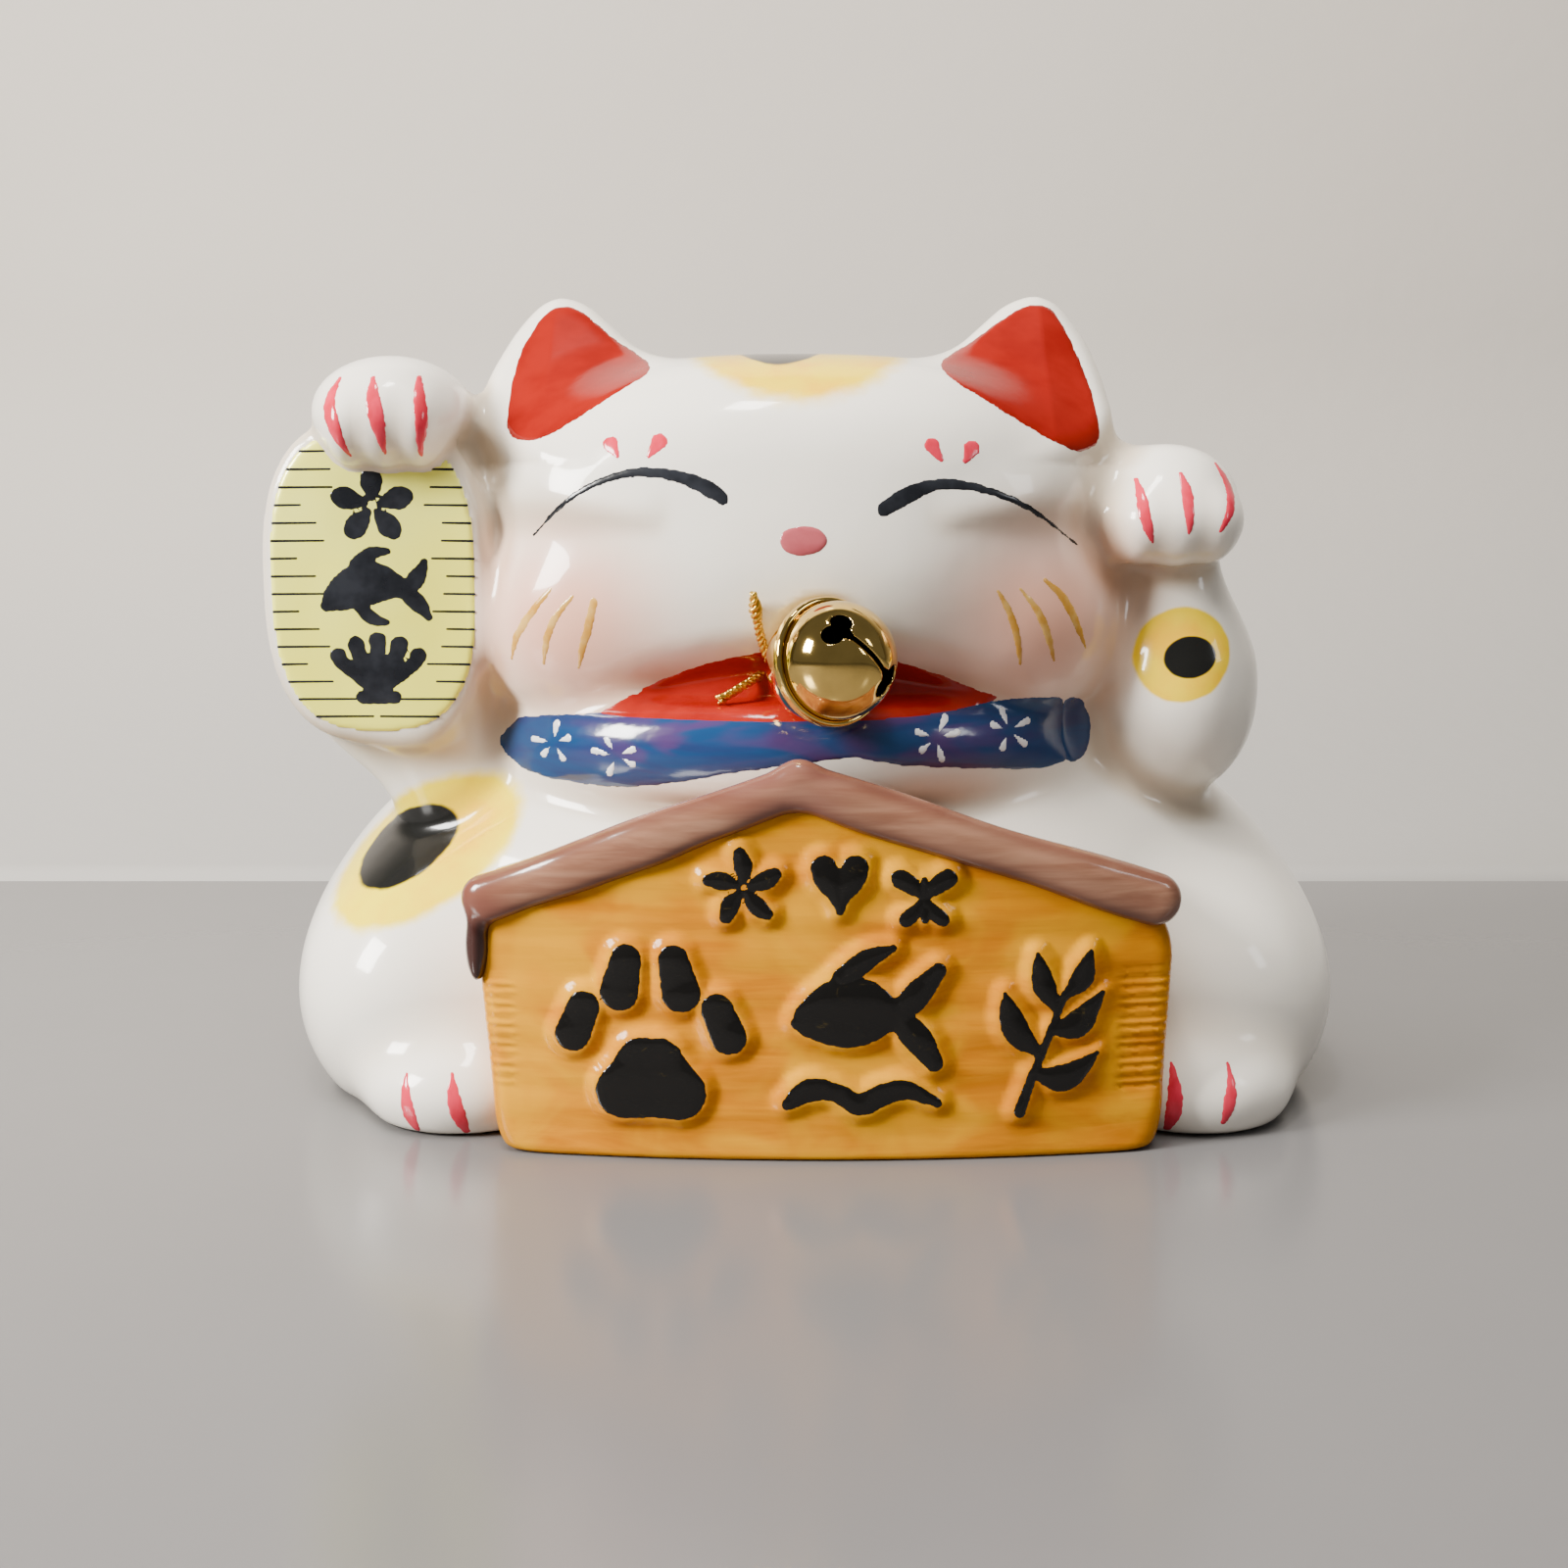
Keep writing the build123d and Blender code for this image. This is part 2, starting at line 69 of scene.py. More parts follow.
class Paint:
    """A Principled material and the few kinds of node that its colours need."""

    def __init__(self, name, rough, metal=0, coat=0, coat_rough=0.03, spec=0.5):
        self.mat = bpy.data.materials.new(name)
        self.mat.use_nodes = True
        self.nodes, self.links = self.mat.node_tree.nodes, self.mat.node_tree.links
        self.shader = self.nodes["Principled BSDF"]
        for key, value in (("Roughness", rough), ("Metallic", metal), ("Coat Weight", coat),
                           ("Coat Roughness", coat_rough), ("Specular IOR Level", spec)):
            self.shader.inputs[key].default_value = value
        coord = self.nodes.new("ShaderNodeTexCoord")
        self.place = self.vector("SCALE", coord.outputs["Object"], 1.0 / MM)

    def put(self, socket, value):
        if isinstance(value, bpy.types.NodeSocket):
            self.links.new(value, socket)
        elif isinstance(value, tuple) and socket.type == "RGBA" and len(value) == 3:
            socket.default_value = value + (1,)
        else:
            socket.default_value = value

    def node(self, kind, inputs, **settings):
        n = self.nodes.new("ShaderNode" + kind)
        for key, value in settings.items():
            setattr(n, key, value)
        for key, value in inputs:
            self.put(n.inputs[key], value)
        return n

    def vector(self, op, a, b=(0, 0, 0)):
        """A vector node; b is a plain number for SCALE."""
        n = self.node("VectorMath", ((0, a), ("Scale" if op == "SCALE" else 1, b)), operation=op)
        return n.outputs["Value" if op == "LENGTH" else "Vector"]

    def math(self, op, a, b):
        return self.node("Math", ((0, a), (1, b)), operation=op).outputs[0]

    def ramp(self, value, low, high, to_low=0, to_high=1):
        inputs = (("Value", value), ("From Min", low), ("From Max", high), ("To Min", to_low),
                  ("To Max", to_high))
        return self.node("MapRange", inputs, interpolation_type="SMOOTHSTEP").outputs["Result"]

    def noise(self, stretch, detail=3, rough=0.55, distort=0):
        """Noise at a point in space; stretch is cycles per millimetre on each axis."""
        stretched = self.vector("MULTIPLY", self.place, stretch)
        return self.node("TexNoise", (("Vector", stretched), ("Scale", 1), ("Detail", detail),
                                      ("Roughness", rough), ("Distortion", distort))).outputs["Fac"]

    def mix(self, fac, a, b):
        return self.node("Mix", (("Factor", fac), ("A", a), ("B", b)), data_type="RGBA").outputs["Result"]

    def tint(self, base, mask, amount, colour):
        return self.mix(self.math("MULTIPLY", mask, amount), base, colour)

    def height(self):
        return self.node("SeparateXYZ", ((0, self.place),)).outputs["Z"]

    def attribute(self, name):
        return self.node("Attribute", (), attribute_name=name).outputs["Fac"]

    def spot(self, centre, radii, turn, soft, wobble=0.06):
        """1 inside an oval spot on the front, turned in the front view, 0 outside, soft at its rim."""
        wave = self.noise(even(0.35), 2)
        q = self.vector("SUBTRACT", self.place, centre)
        spin = self.node("VectorRotate", (("Vector", q), ("Angle", math.radians(turn))),
                         rotation_type="Y_AXIS")
        q = self.vector("MULTIPLY", spin.outputs[0], tuple(1 / r for r in radii))
        reach = self.math("ADD", self.vector("LENGTH", q), self.math("MULTIPLY", wave, wobble * 2))
        return self.ramp(reach, 1 + wobble + soft / 2, 1 + wobble - soft / 2)

    def bump(self, height, strength, distance):
        n = self.node("Bump", (("Strength", strength), ("Distance", distance), ("Height", height)))
        self.put(self.shader.inputs["Normal"], n.outputs["Normal"])

    def finish(self, colour):
        self.put(self.shader.inputs["Base Color"], colour)
        return self.mat


def enamel(name, colour, dark, grain, rough=0.12):
    """Glossy brushed-on enamel: two shades of one colour in soft streaks."""
    paint = Paint(name, rough=rough, spec=0.45)
    paint.bump(paint.noise(even(0.5), 2), 0.12, 0.0002)
    return paint.finish(paint.mix(paint.ramp(paint.noise(grain), 0.35, 0.7), colour, dark))


def white_glaze():
    paint = Paint("white_glaze", rough=0.2, coat=0.45, coat_rough=0.035, spec=0.2)
    hollow = paint.attribute("hollow")
    cloud = paint.noise(even(0.03), 2)
    white = paint.mix(cloud, (0.92, 0.87, 0.775), (0.89, 0.835, 0.735))
    # darker and browner in creases and recesses: painted shade
    white = paint.mix(paint.ramp(hollow, 0, 1, 0, 0.8), white, (0.6, 0.48, 0.34))
    for centre in ((-33, -30, 65), (29.5, -30, 66)):
        white = paint.tint(white, paint.spot(centre, (11.5, 30, 10.5), 0, 1.7, 0.03), 0.8,
                           (0.86, 0.36, 0.22))
    yellow, deep, black = (0.96, 0.67, 0), (0.95, 0.52, 0), (0.01, 0.01, 0.009)
    tone = paint.ramp(paint.noise(even(0.16), 3), 0.35, 0.75)
    lemon = paint.mix(tone, yellow, deep)
    pale = paint.mix(tone, (0.97, 0.76, 0), yellow)
    spots = (
        ((-53.4, -22, 34.3), (15.2, 30, 7.8), 30, 0.2, 0.07, pale),
        ((-48.4, -22, 37.2), (6.2, 30, 4.8), 30, 0.9, 0.05, lemon),
        ((48.9, -22, 60.6), (6.6, 14, 6.1), 40, 0.08, 0.05, lemon),
        ((-2.4, -14, 103.4), (14.6, 26, 14), 0, 0.22, 0.07, lemon),
        ((-56, -22, 34.5), (8.1, 30, 4.15), 31, 0.1, 0.05, black),
        ((49.7, -22, 60.3), (3.5, 14, 2.75), 12, 0.08, 0.04, black),
        ((-4.9, -13, 104.4), (6.1, 17, 8.2), 0, 0.1, 0.04, black),
    )
    for centre, radii, turn, soft, wobble, colour in spots:
        white = paint.mix(paint.spot(centre, radii, turn, soft, wobble), white, colour)
    bare = paint.ramp(paint.height(), 0.45, 0.25)
    white = paint.mix(bare, white, (0.62, 0.55, 0.45))
    paint.bump(paint.noise(even(0.11), 2), 0.22, 0.0006)
    return paint.finish(white)


def amber_glaze():
    paint = Paint("amber_glaze", rough=0.15, coat=0.1, coat_rough=0.04, spec=0.12)
    streak = paint.noise((0.035, 0.2, 0.42), 4, 0.6, 0.6)
    cloud = paint.noise((0.07, 0.07, 0.09), 3, 0.5, 0.8)
    amber = paint.mix(paint.ramp(streak, 0.34, 0.68), (0.69, 0.255, 0), (0.54, 0.168, 0))
    amber = paint.mix(paint.ramp(cloud, 0.42, 0.66, 0, 0.8), amber, (0.76, 0.345, 0))
    # darker in the recesses round the raised strokes: painted shade
    amber = paint.mix(paint.ramp(paint.attribute("hollow"), 0.12, 1, 0, 0.9), amber, (0.34, 0.085, 0))
    amber = paint.mix(paint.ramp(paint.attribute("edge"), 0.15, 1, 0, 0.5), amber, (0.8, 0.43, 0))
    paint.bump(paint.noise((0.03, 0.2, 0.5), 3), 0.35, 0.0003)
    return paint.finish(amber)


def brown_glaze():
    paint = Paint("brown_glaze", rough=0.18, coat=0.3, coat_rough=0.05, spec=0.45)
    streak = paint.noise((0.05, 0.2, 0.5), 4, 0.6, 0.5)
    brown = paint.mix(paint.ramp(streak, 0.3, 0.7), (0.36, 0.185, 0.115), (0.235, 0.1, 0.06))
    # darker in recesses: painted shade
    brown = paint.mix(paint.ramp(paint.attribute("hollow"), 0.1, 1, 0, 0.85), brown, (0.1, 0.03, 0.02))
    end = paint.spot((-43, -44, 28), (6.5, 30, 7), 20, 0.9)
    brown = paint.tint(brown, end, 0.85, (0.16, 0.05, 0.035))
    drip = paint.spot((-42.9, -44, 25), (3, 30, 4.9), 0, 0.6)
    brown = paint.tint(brown, drip, 0.95, (0.03, 0.009, 0.007))
    ridge = paint.spot((-4, -44, 46), (7, 30, 6), 0, 0.9)
    brown = paint.tint(brown, ridge, 0.45, (0.19, 0.07, 0.055))
    paint.bump(paint.noise((0.04, 0.2, 0.4), 3), 0.3, 0.0003)
    return paint.finish(brown)


def blue_glaze():
    paint = Paint("blue_glaze", rough=0.14, coat=0.3, coat_rough=0.04)
    streak = paint.noise((0.05, 0.1, 0.3), 3, 0.55, 1.2)
    blue = paint.mix(paint.ramp(streak, 0.35, 0.7), (0.01, 0.048, 0.145), (0.016, 0.034, 0.118))
    violet = paint.noise((0.045, 0.05, 0.16), 2, 0.5, 1.5)
    middle = paint.spot((-2, -36, 51), (26, 40, 9), 0, 0.9)
    violet = paint.math("MULTIPLY", paint.ramp(violet, 0.44, 0.62), middle)
    blue = paint.tint(blue, violet, 0.6, (0.1, 0.028, 0.12))
    paint.bump(paint.noise((0.2, 0.3, 0.4), 2), 0.3, 0.0003)
    return paint.finish(blue)


def gold(name, colour, rough, grain=0):
    paint = Paint(name, rough=rough, metal=1)
    tarnish = paint.ramp(paint.noise(even(0.35), 4), 0.4, 0.75, 0, 0.35)
    worn = tuple(c * 0.62 for c in colour)
    paint.bump(paint.noise(even(0.6), 2), 0.1 + grain, 0.00005)
    plated = paint.mix(tarnish, colour, worn)
    # points marked inside, within the bell, are painted near black: painted shade inside the bell
    return paint.finish(paint.mix(paint.attribute("inside"), plated, (0.02, 0.014, 0.008)))


def foil_gold():
    paint = Paint("gold_foil", rough=0.3, metal=0.05, coat=0.35, spec=0.7)
    # lighter and paler towards the top: painted sheen
    painted_sheen = paint.ramp(paint.height(), 55, 84)
    colour = paint.mix(painted_sheen, (1, 0.98, 0.12), (1, 1, 0.2))
    colour = paint.mix(paint.ramp(paint.noise(even(0.06), 3), 0.35, 0.7, 0, 0.5), colour,
                       (1, 0.93, 0.06))
    paint.bump(paint.noise(even(0.25), 3), 0.15, 0.0001)
    return paint.finish(colour)


def black_enamel():
    """Black brushwork, thin enough in places to show olive."""
    paint = Paint("black_glaze", rough=0.09, spec=0.4)
    dry = paint.noise((0.22, 0.22, 0.35), 4, 0.7, 1.5)
    thin = paint.ramp(dry, 0.62, 0.8, 0, 0.45)
    paint.bump(paint.noise(even(0.5), 2), 0.2, 0.0002)
    return paint.finish(paint.mix(thin, (0.006, 0.0055, 0.005), (0.1, 0.07, 0.012)))


def rubber():
    paint = Paint("rubber_plug", rough=0.55, spec=0.35)
    paint.bump(paint.noise(even(1.2), 3), 0.25, 0.0001)
    shade = paint.noise(even(0.3), 3)
    return paint.finish(paint.mix(shade, (0.055, 0.05, 0.045), (0.085, 0.08, 0.075)))


def steel():
    paint = Paint("pellet_steel", rough=0.25, metal=1)
    grain = paint.noise(even(2), 3)
    paint.bump(grain, 0.2, 0.00005)
    return paint.finish(paint.mix(grain, (0.56, 0.55, 0.53), (0.4, 0.39, 0.38)))


WHITE, AMBER, BROWN, BLUE = white_glaze(), amber_glaze(), brown_glaze(), blue_glaze()
BLACK = black_enamel()
LINE_BLACK = enamel("line_black", (0.01, 0.011, 0.014), (0.022, 0.024, 0.03), even(0.25), 0.18)
RED = enamel("red_glaze", (0.36, 0.014, 0.007), (0.27, 0.006, 0.003), (0.12, 0.2, 0.12))
EAR_RED = enamel("ear_red", (0.27, 0.0085, 0.004), (0.21, 0.005, 0.002), (0.12, 0.2, 0.12))
CLAW_RED = enamel("claw_red", (0.72, 0.035, 0.075), (0.58, 0.02, 0.045), (0.5, 0.5, 0.25))
NOSE_PINK = enamel("nose_pink", (0.46, 0.1, 0.115), (0.38, 0.07, 0.085), (0.2, 0.2, 0.3))
OCHRE = enamel("whisker_ochre", (0.56, 0.27, 0.035), (0.68, 0.42, 0.12), even(0.4))
PETAL = enamel("petal_white", (0.8, 0.8, 0.8), (0.7, 0.72, 0.76), even(0.5))
GOLD = gold("gold_plate", (0.88, 0.6, 0.17), 0.07)
THREAD = gold("gold_cord", (0.8, 0.52, 0.09), 0.28, 0.4)
FOIL, RUBBER, STEEL = foil_gold(), rubber(), steel()


# ---- distance fields
def vec(*a):
    return np.array(a, np.float32)


def smin(a, b, k):
    h = np.clip(0.5 + 0.5 * (b - a) / k, 0, 1)
    return b + (a - b) * h - k * h * (1 - h)


def smax(a, b, k):
    return -smin(-a, -b, k)


def blended(parts, k):
    """Several distances as one, rounded by k where they meet."""
    return functools.reduce(lambda a, b: smin(a, b, k), parts)


def egg(p, c, r):
    """About the distance to an ellipsoid."""
    q, r = p - vec(*c), vec(*r)
    k0 = np.sqrt(((q / r) ** 2).sum(-1))
    k1 = np.sqrt(((q / (r * r)) ** 2).sum(-1))
    return k0 * (k0 - 1) / np.maximum(k1, 1e-6)


def bun(p, c, r, n_plan, n_side):
    """About the distance to an ellipsoid that gets boxier as n_plan (from above) and n_side grow."""
    q = np.minimum(np.abs(p - vec(*c)) / vec(*r) + 1e-6, 8)
    s = q[..., 0] ** n_plan + q[..., 1] ** n_plan
    t = s ** (n_side / n_plan) + q[..., 2] ** n_side
    g = t ** (1 / n_side)
    common = t ** (1 / n_side - 1)
    ring = common * s ** (n_side / n_plan - 1)
    gx = ring * q[..., 0] ** (n_plan - 1) / r[0]
    gy = ring * q[..., 1] ** (n_plan - 1) / r[1]
    gz = common * q[..., 2] ** (n_side - 1) / r[2]
    return (g - 1) / np.maximum(np.sqrt(gx * gx + gy * gy + gz * gz), 1e-4)


def limb(p, a, b, ra, rb):
    """The distance to a cone with round ends between two points."""
    a, b = vec(*a), vec(*b)
    ba = b - a
    t = np.clip(((p - a) @ ba) / float(ba @ ba), 0, 1)
    d = p - a - t[..., None] * ba
    return np.sqrt((d * d).sum(-1)) - (ra + (rb - ra) * t)


def segment(x, z, x0, z0, x1, z1):
    """How far along a line each point lies, from 0 to 1, and its distance from the line."""
    ex, ez = x1 - x0, z1 - z0
    t = np.clip(((x - x0) * ex + (z - z0) * ez) / (ex * ex + ez * ez + 1e-9), 0, 1)
    return t, np.hypot(x - x0 - ex * t, z - z0 - ez * t)


def squarish(x, z, centre, half, power, size):
    """About the flat distance to an oval; a power of 2 makes it an ellipse, more makes it boxier."""
    u = np.abs((x - centre[0]) / half[0]) + 1e-6
    v = np.abs((z - centre[1]) / half[1]) + 1e-6
    return ((u ** power + v ** power) ** (1 / power) - 1) * size


def convex(x, z, corners, k):
    """A convex outline in the front view, its corners rounded by k; they run clockwise."""
    inward = []
    for (x0, z0), (x1, z1) in zip(corners, corners[1:] + corners[:1]):
        ex, ez = x1 - x0, z1 - z0
        inward.append(((x - x0) * ez - (z - z0) * ex) / math.hypot(ex, ez))
    return -blended(inward, k)


HEAD_X = -2.5
EAR_LEFT = ((44, 80), (43.6, 95.5), (37.6, 107.6), (33.6, 110.4), (30.6, 109.9), (17.6, 97.5),
            (20, 80))
EAR_RIGHT = ((43.4, 80), (42.8, 95.5), (39.4, 105.8), (35.2, 110.4), (31, 110.2), (17, 97.5),
             (20, 80))
TABLET_MIDDLE = (-58.6, 70.2)
BELL_REAR, BELL_ROOM = (1.1, -39.2, 60.6), 8.4  # the middle and the radius of the room for the bell
WALL, INNER_FLOOR = 4.5, 8
SLOT_Y, SLOT_Z, SLOT_HALF_WIDTH, SLOT_HALF_HEIGHT = 14, 80, 17, 2.5
HOLE_R, HOLE_TOP, RECESS_R, RECESS_TOP = 16, 12, 20, 3


def trunk(p):
    low = egg(p, (0, 4, 13), (75, 45.3, 27))
    high = egg(p, (0, 4, 13), (75, 45.3, 45.5))
    return np.where(p[..., 2] < 13, low, high)


def skull(p):
    return bun(p, (HEAD_X, -2, 75.6), (43.8, 33.6, 25.6), 2.35, 2.9)


def head(p):
    d = skull(p)
    for s in (-1, 1):
        d = smin(d, egg(p, (HEAD_X + 28.5 * s, -12, 63.5), (15.5, 17, 13.5)), 8)
    d = smin(d, egg(p, (-2.2, -21.6, 71), (24, 12.4, 11.5)), 8)
    return smax(d, -egg(p, (-2.3, -37, 53.6), (31, 10.6, 8.6)), 3.4)


def ear(p, side, outline):
    y, z = p[..., 1], p[..., 2]
    corners = tuple((HEAD_X + side * a, b) for a, b in outline)
    flat = convex(p[..., 0], z, corners[::-1] if side > 0 else corners, 2.6)
    outer = np.maximum(side * (p[..., 0] - HEAD_X) - 33.5, 0)
    front = (-24.6 + (z - 88) * 0.84 + 0.3 * outer) - y
    back = y - (5 - (z - 88) * 0.3)
    grown = skull(p) - np.clip((z - 85.5) * 1.1, 0.2, 30)
    return smax(smax(smax(flat, front * 0.76, 2.6), back * 0.93, 4.5), grown * 0.7, 3)


def tablet_slab(x, y, z):
    flat = squarish(x, z, TABLET_MIDDLE, (15.1, 21.6), 2.7, 15.5)
    return smax(smax(flat, -23.6 - y, 2.4), y + 9, 5)


def tablet_arm(p, paw):
    d = egg(p, (-58.4, -10.5, 66.5), (16.4, 12, 22.5))
    d = smin(d, tablet_slab(p[..., 0], p[..., 1], p[..., 2]), 3)
    d = smin(d, limb(p, (-50, -10, 43), (-55.6, -10.6, 55), 10.5, 10.4), 5)
    d = smin(d, egg(p, (-46, -5, 64), (8, 11, 26)), 4)
    if not paw:
        return d
    paw = smin(egg(p, (-56.3, -18.5, 93), (10.4, 10, 6.9)), egg(p, (-56.2, -23.4, 91.4), (9, 6.4, 5)), 3)
    toes = [egg(p, (x, -24.4, 89.8), (2.6, 5.4, 4.4)) for x in (-60.8, -56.2, -51.4)]
    d = smin(d, blended([paw] + toes, 2.6), 1.2)
    return smin(d, egg(p, (-51.5, -9, 88), (9, 9, 6.6)), 4)


def bent_arm(p):
    d = egg(p, (50, -12.5, 54.6), (11.4, 12.5, 14.4))
    d = smin(d, limb(p, (50.2, -12.5, 60), (49.2, -13, 74), 8.4, 6.2), 5)
    d = smin(d, egg(p, (40.5, -6, 62), (7.5, 11, 24)), 5)
    paw = smin(egg(p, (47.2, -16, 81.2), (9.7, 10, 7.4)), egg(p, (47.2, -21.3, 78.2), (9.2, 7, 5.4)), 3)
    toes = [egg(p, (x, -22.2, 77.4), (2.6, 5.4, 4.2)) for x in (42.4, 47.6, 52.4)]
    paw = smin(blended([paw] + toes, 2.8), egg(p, (39.6, -12, 81.4), (8, 8, 6.2)), 4)
    return smin(d, paw, 2.2)


def cat_skin(p, paw=True):
    y, z = p[..., 1], p[..., 2]
    d = trunk(p)
    d = smin(d, bun(p, (-2, 1.5, 50), (46, 30.5, 17), 2.2, 2.4), 7)
    for s in (-1, 1):
        d = smin(d, egg(p, (53.6 * s, -13, 13), (18.8, 22, 19.5)), 8)
        d = smin(d, egg(p, (48 * s + 1.5, -29, 4.4), (14, 13.2, 8.4)), 4.6)
    h = head(p)
    h = smin(h, ear(p, -1, EAR_LEFT), 4)
    h = smin(h, ear(p, 1, EAR_RIGHT), 4)
    d = smin(d, h, 2.2)
    d = smin(d, egg(p, (-2.3, -13.5, 55.6), (27, 16.4, 8.2)), 2)
    ring = bun(p * vec(1, 1, 0), (-2.8, 2.6, 0), (40.6, 35.4, 1e4), 2, 2)
    fade = np.clip((y + 6) / 14, 0, 1) * 6
    fold = np.sqrt(ring ** 2 + ((z - 48.4) * 0.72) ** 2 + 1e-6) - (4.6 - fade)
    d = smin(d, fold, 3)
    d = smin(d, tablet_arm(p, paw), 3)
    d = smin(d, bent_arm(p), 4.6)
    # the chin and bib are hollowed a little behind the bell, so it swings clear of them
    d = smax(d, BELL_ROOM - np.linalg.norm(p - vec(*BELL_REAR), axis=-1), 1)
    return smax(d, -z, 1)


def cat_shell(p):
    """The cat hollowed out, with its coin slot behind the head and the hole and recess below."""
    x, y, z = p[..., 0], p[..., 1], p[..., 2]
    room = smax(smin(trunk(p), skull(p), 5) + WALL, INNER_FLOOR - z, 2)
    d = smax(cat_skin(p), -room, 0.4)
    u, v = np.abs(x - HEAD_X) - SLOT_HALF_WIDTH, np.abs(z - SLOT_Z) - SLOT_HALF_HEIGHT
    slot = np.maximum(np.maximum(u, v), SLOT_Y - y)
    d = smax(d, -slot, 1)
    radius = np.sqrt(x * x + y * y)
    d = smax(d, -np.maximum(radius - HOLE_R, z - HOLE_TOP), 0.6)
    return smax(d, -np.maximum(radius - RECESS_R, z - RECESS_TOP), 0.6)


# ---- sign board
BOARD_FRONT, BOARD_LEAN, ROOF_PROUD, BOW_R = 49.5, 0.03, 1.7, 230
RELIEF, GROOVE_STEP = 0.85, 1.25
BOARD_SIDES = ((-39.8, -2), (-42.7, 31.5), (-2.6, 46.4), (44.3, 30.5), (42.6, -2))
ROOF_LINE = ((-41, 31.9), (-2.6, 46.4), (41.6, 31.8))
# each mark's middle on the board, and its strokes of (x, z, radius) rows about that middle
MARKS = {
    "mark_paw": ((-20.6, 15.4), [
        [(-3.4, -6.6, 3.4), (0, -5.2, 4.6), (3.4, -6.6, 3.4)], [(-1, -3, 3.2), (1, -3, 3.2)],
        [(-9.6, 0.4, 2.2), (-8.2, 3.8, 2)], [(-3.8, 5.8, 2.4), (-2.9, 9.8, 1.9)],
        [(3.8, 5.8, 2.4), (2.9, 9.8, 1.9)], [(9.6, 0.4, 2.2), (8.2, 3.8, 2)]]),
    "mark_fish": ((5.4, 16.2), [
        [(-8, 1.4, 0.9), (-5.2, 2.2, 3), (-1.6, 2.8, 4.4), (2, 2.6, 2.6), (4.6, 2.2, 1.4)],
        [(4.2, 2.4, 1.3), (6.2, 4.6, 1.7), (9, 7.8, 1)],
        [(4.2, 2, 1.3), (6.4, -0.4, 1.8), (8.6, -3.6, 1.1)],
        [(-2.6, 6.8, 1.4), (0.2, 9.2, 1.3), (3.4, 10.6, 0.5)],
        [(-9.2, -8.6, 0.8), (-6.6, -6.9, 1.5), (-3.4, -7.2, 1.2), (-0.4, -8.7, 1.4), (2.6, -7.4, 1.4),
         (5.4, -7, 1.2), (9, -8.6, 0.6)]]),
    "mark_sprig": ((28.2, 15.8), [
        [(-3.6, -9.6, 0.75), (-2.2, -5.6, 0.6), (-0.4, -1, 0.5), (1.8, 4.8, 0.45)],
        [(-2, -4.8, 0.4), (1.4, -5.6, 1.7), (3.6, -4.6, 1.3), (6, -2.6, 0.3)],
        [(-1, -2.6, 0.4), (-3.8, 0, 1.6), (-4.9, 2.4, 1.4), (-5.6, 5.2, 0.3)],
        [(0.2, 0.4, 0.4), (3.2, 1, 1.7), (4.8, 2.6, 1.3), (6.6, 5, 0.3)],
        [(1, 2.8, 0.4), (-0.6, 5.6, 1.4), (-1.2, 7.6, 1.2), (-1.6, 10, 0.3)],
        [(1.8, 4.6, 0.4), (3.8, 6.6, 1.4), (4.4, 8.2, 1.1), (5, 10.2, 0.3)]]),
    "mark_blossom": ((-9.2, 34.2), [
        [(0.7 * math.cos(a), 0.7 * math.sin(a), 0.35), (2.6 * math.cos(a), 2.6 * math.sin(a), 1.15),
         (4.2 * math.cos(a + 0.1), 4.2 * math.sin(a + 0.1), 0.8)]
        for a in [math.radians(90 + 72 * k) for k in range(5)]]),
    "mark_heart": ((2.4, 35.2), [
        [(side * 1.9, 1.4, 1.6), (side * 1.4, 0.2, 1.7), (side * 0.5, -1.8, 1), (0, -3.8, 0.4)]
        for side in (-1, 1)]),
    "mark_butterfly": ((12.6, 32.8), [
        [(0, 2.3, 0.4), (0.1, -2.6, 0.45)]] + [
        [(side * 0.4, rise * 0.4, 0.4), (side * wide * 0.6, rise * 1.75, size),
         (side * wide, rise * 2.5, size)]
        for side in (-1, 1) for rise, wide, size in ((1, 2.9, 1.15), (-1, 2.2, 0.9))]),
}


SMOOTH_STEPS = 6


def smooth_line(points):
    """Catmull-Rom through rows of numbers, in a few steps from each row to the next."""
    p = np.array(points, float)
    if len(p) < 3:
        return p
    p = np.vstack([2 * p[0] - p[1], p, 2 * p[-1] - p[-2]])
    out = []
    for a, b, c, d in zip(p, p[1:], p[2:], p[3:]):
        for t in np.arange(SMOOTH_STEPS) / SMOOTH_STEPS:
            out.append(0.5 * (2 * b + (c - a) * t + (2 * a - 5 * b + 4 * c - d) * t * t
                              + (3 * b - a - 3 * c + d) * t ** 3))
    return np.array(out + [p[-2]])


def strokes_field(strokes, centre=(0, 0), blend=0.5, rough=0.025):
    """The flat distance to a set of brush strokes given as (x, z, radius) rows."""
    lines = [smooth_line(s) for s in strokes]

    def field(x, z):
        x, z = x - centre[0], z - centre[1]
        strokes_away = []
        for line in lines:
            near = np.inf
            for (x0, z0, r0), (x1, z1, r1) in zip(line, line[1:]):
                t, away = segment(x, z, x0, z0, x1, z1)
                near = np.minimum(near, away - (r0 + (r1 - r0) * t))
            strokes_away.append(near)
        wave = np.sin(x * 2.9 + z * 1.1) + np.sin(z * 3.7 - x * 1.3 + 1) + np.sin(x * 6.1 + z * 5.3)
        return blended(strokes_away, blend) + rough * wave
    return field


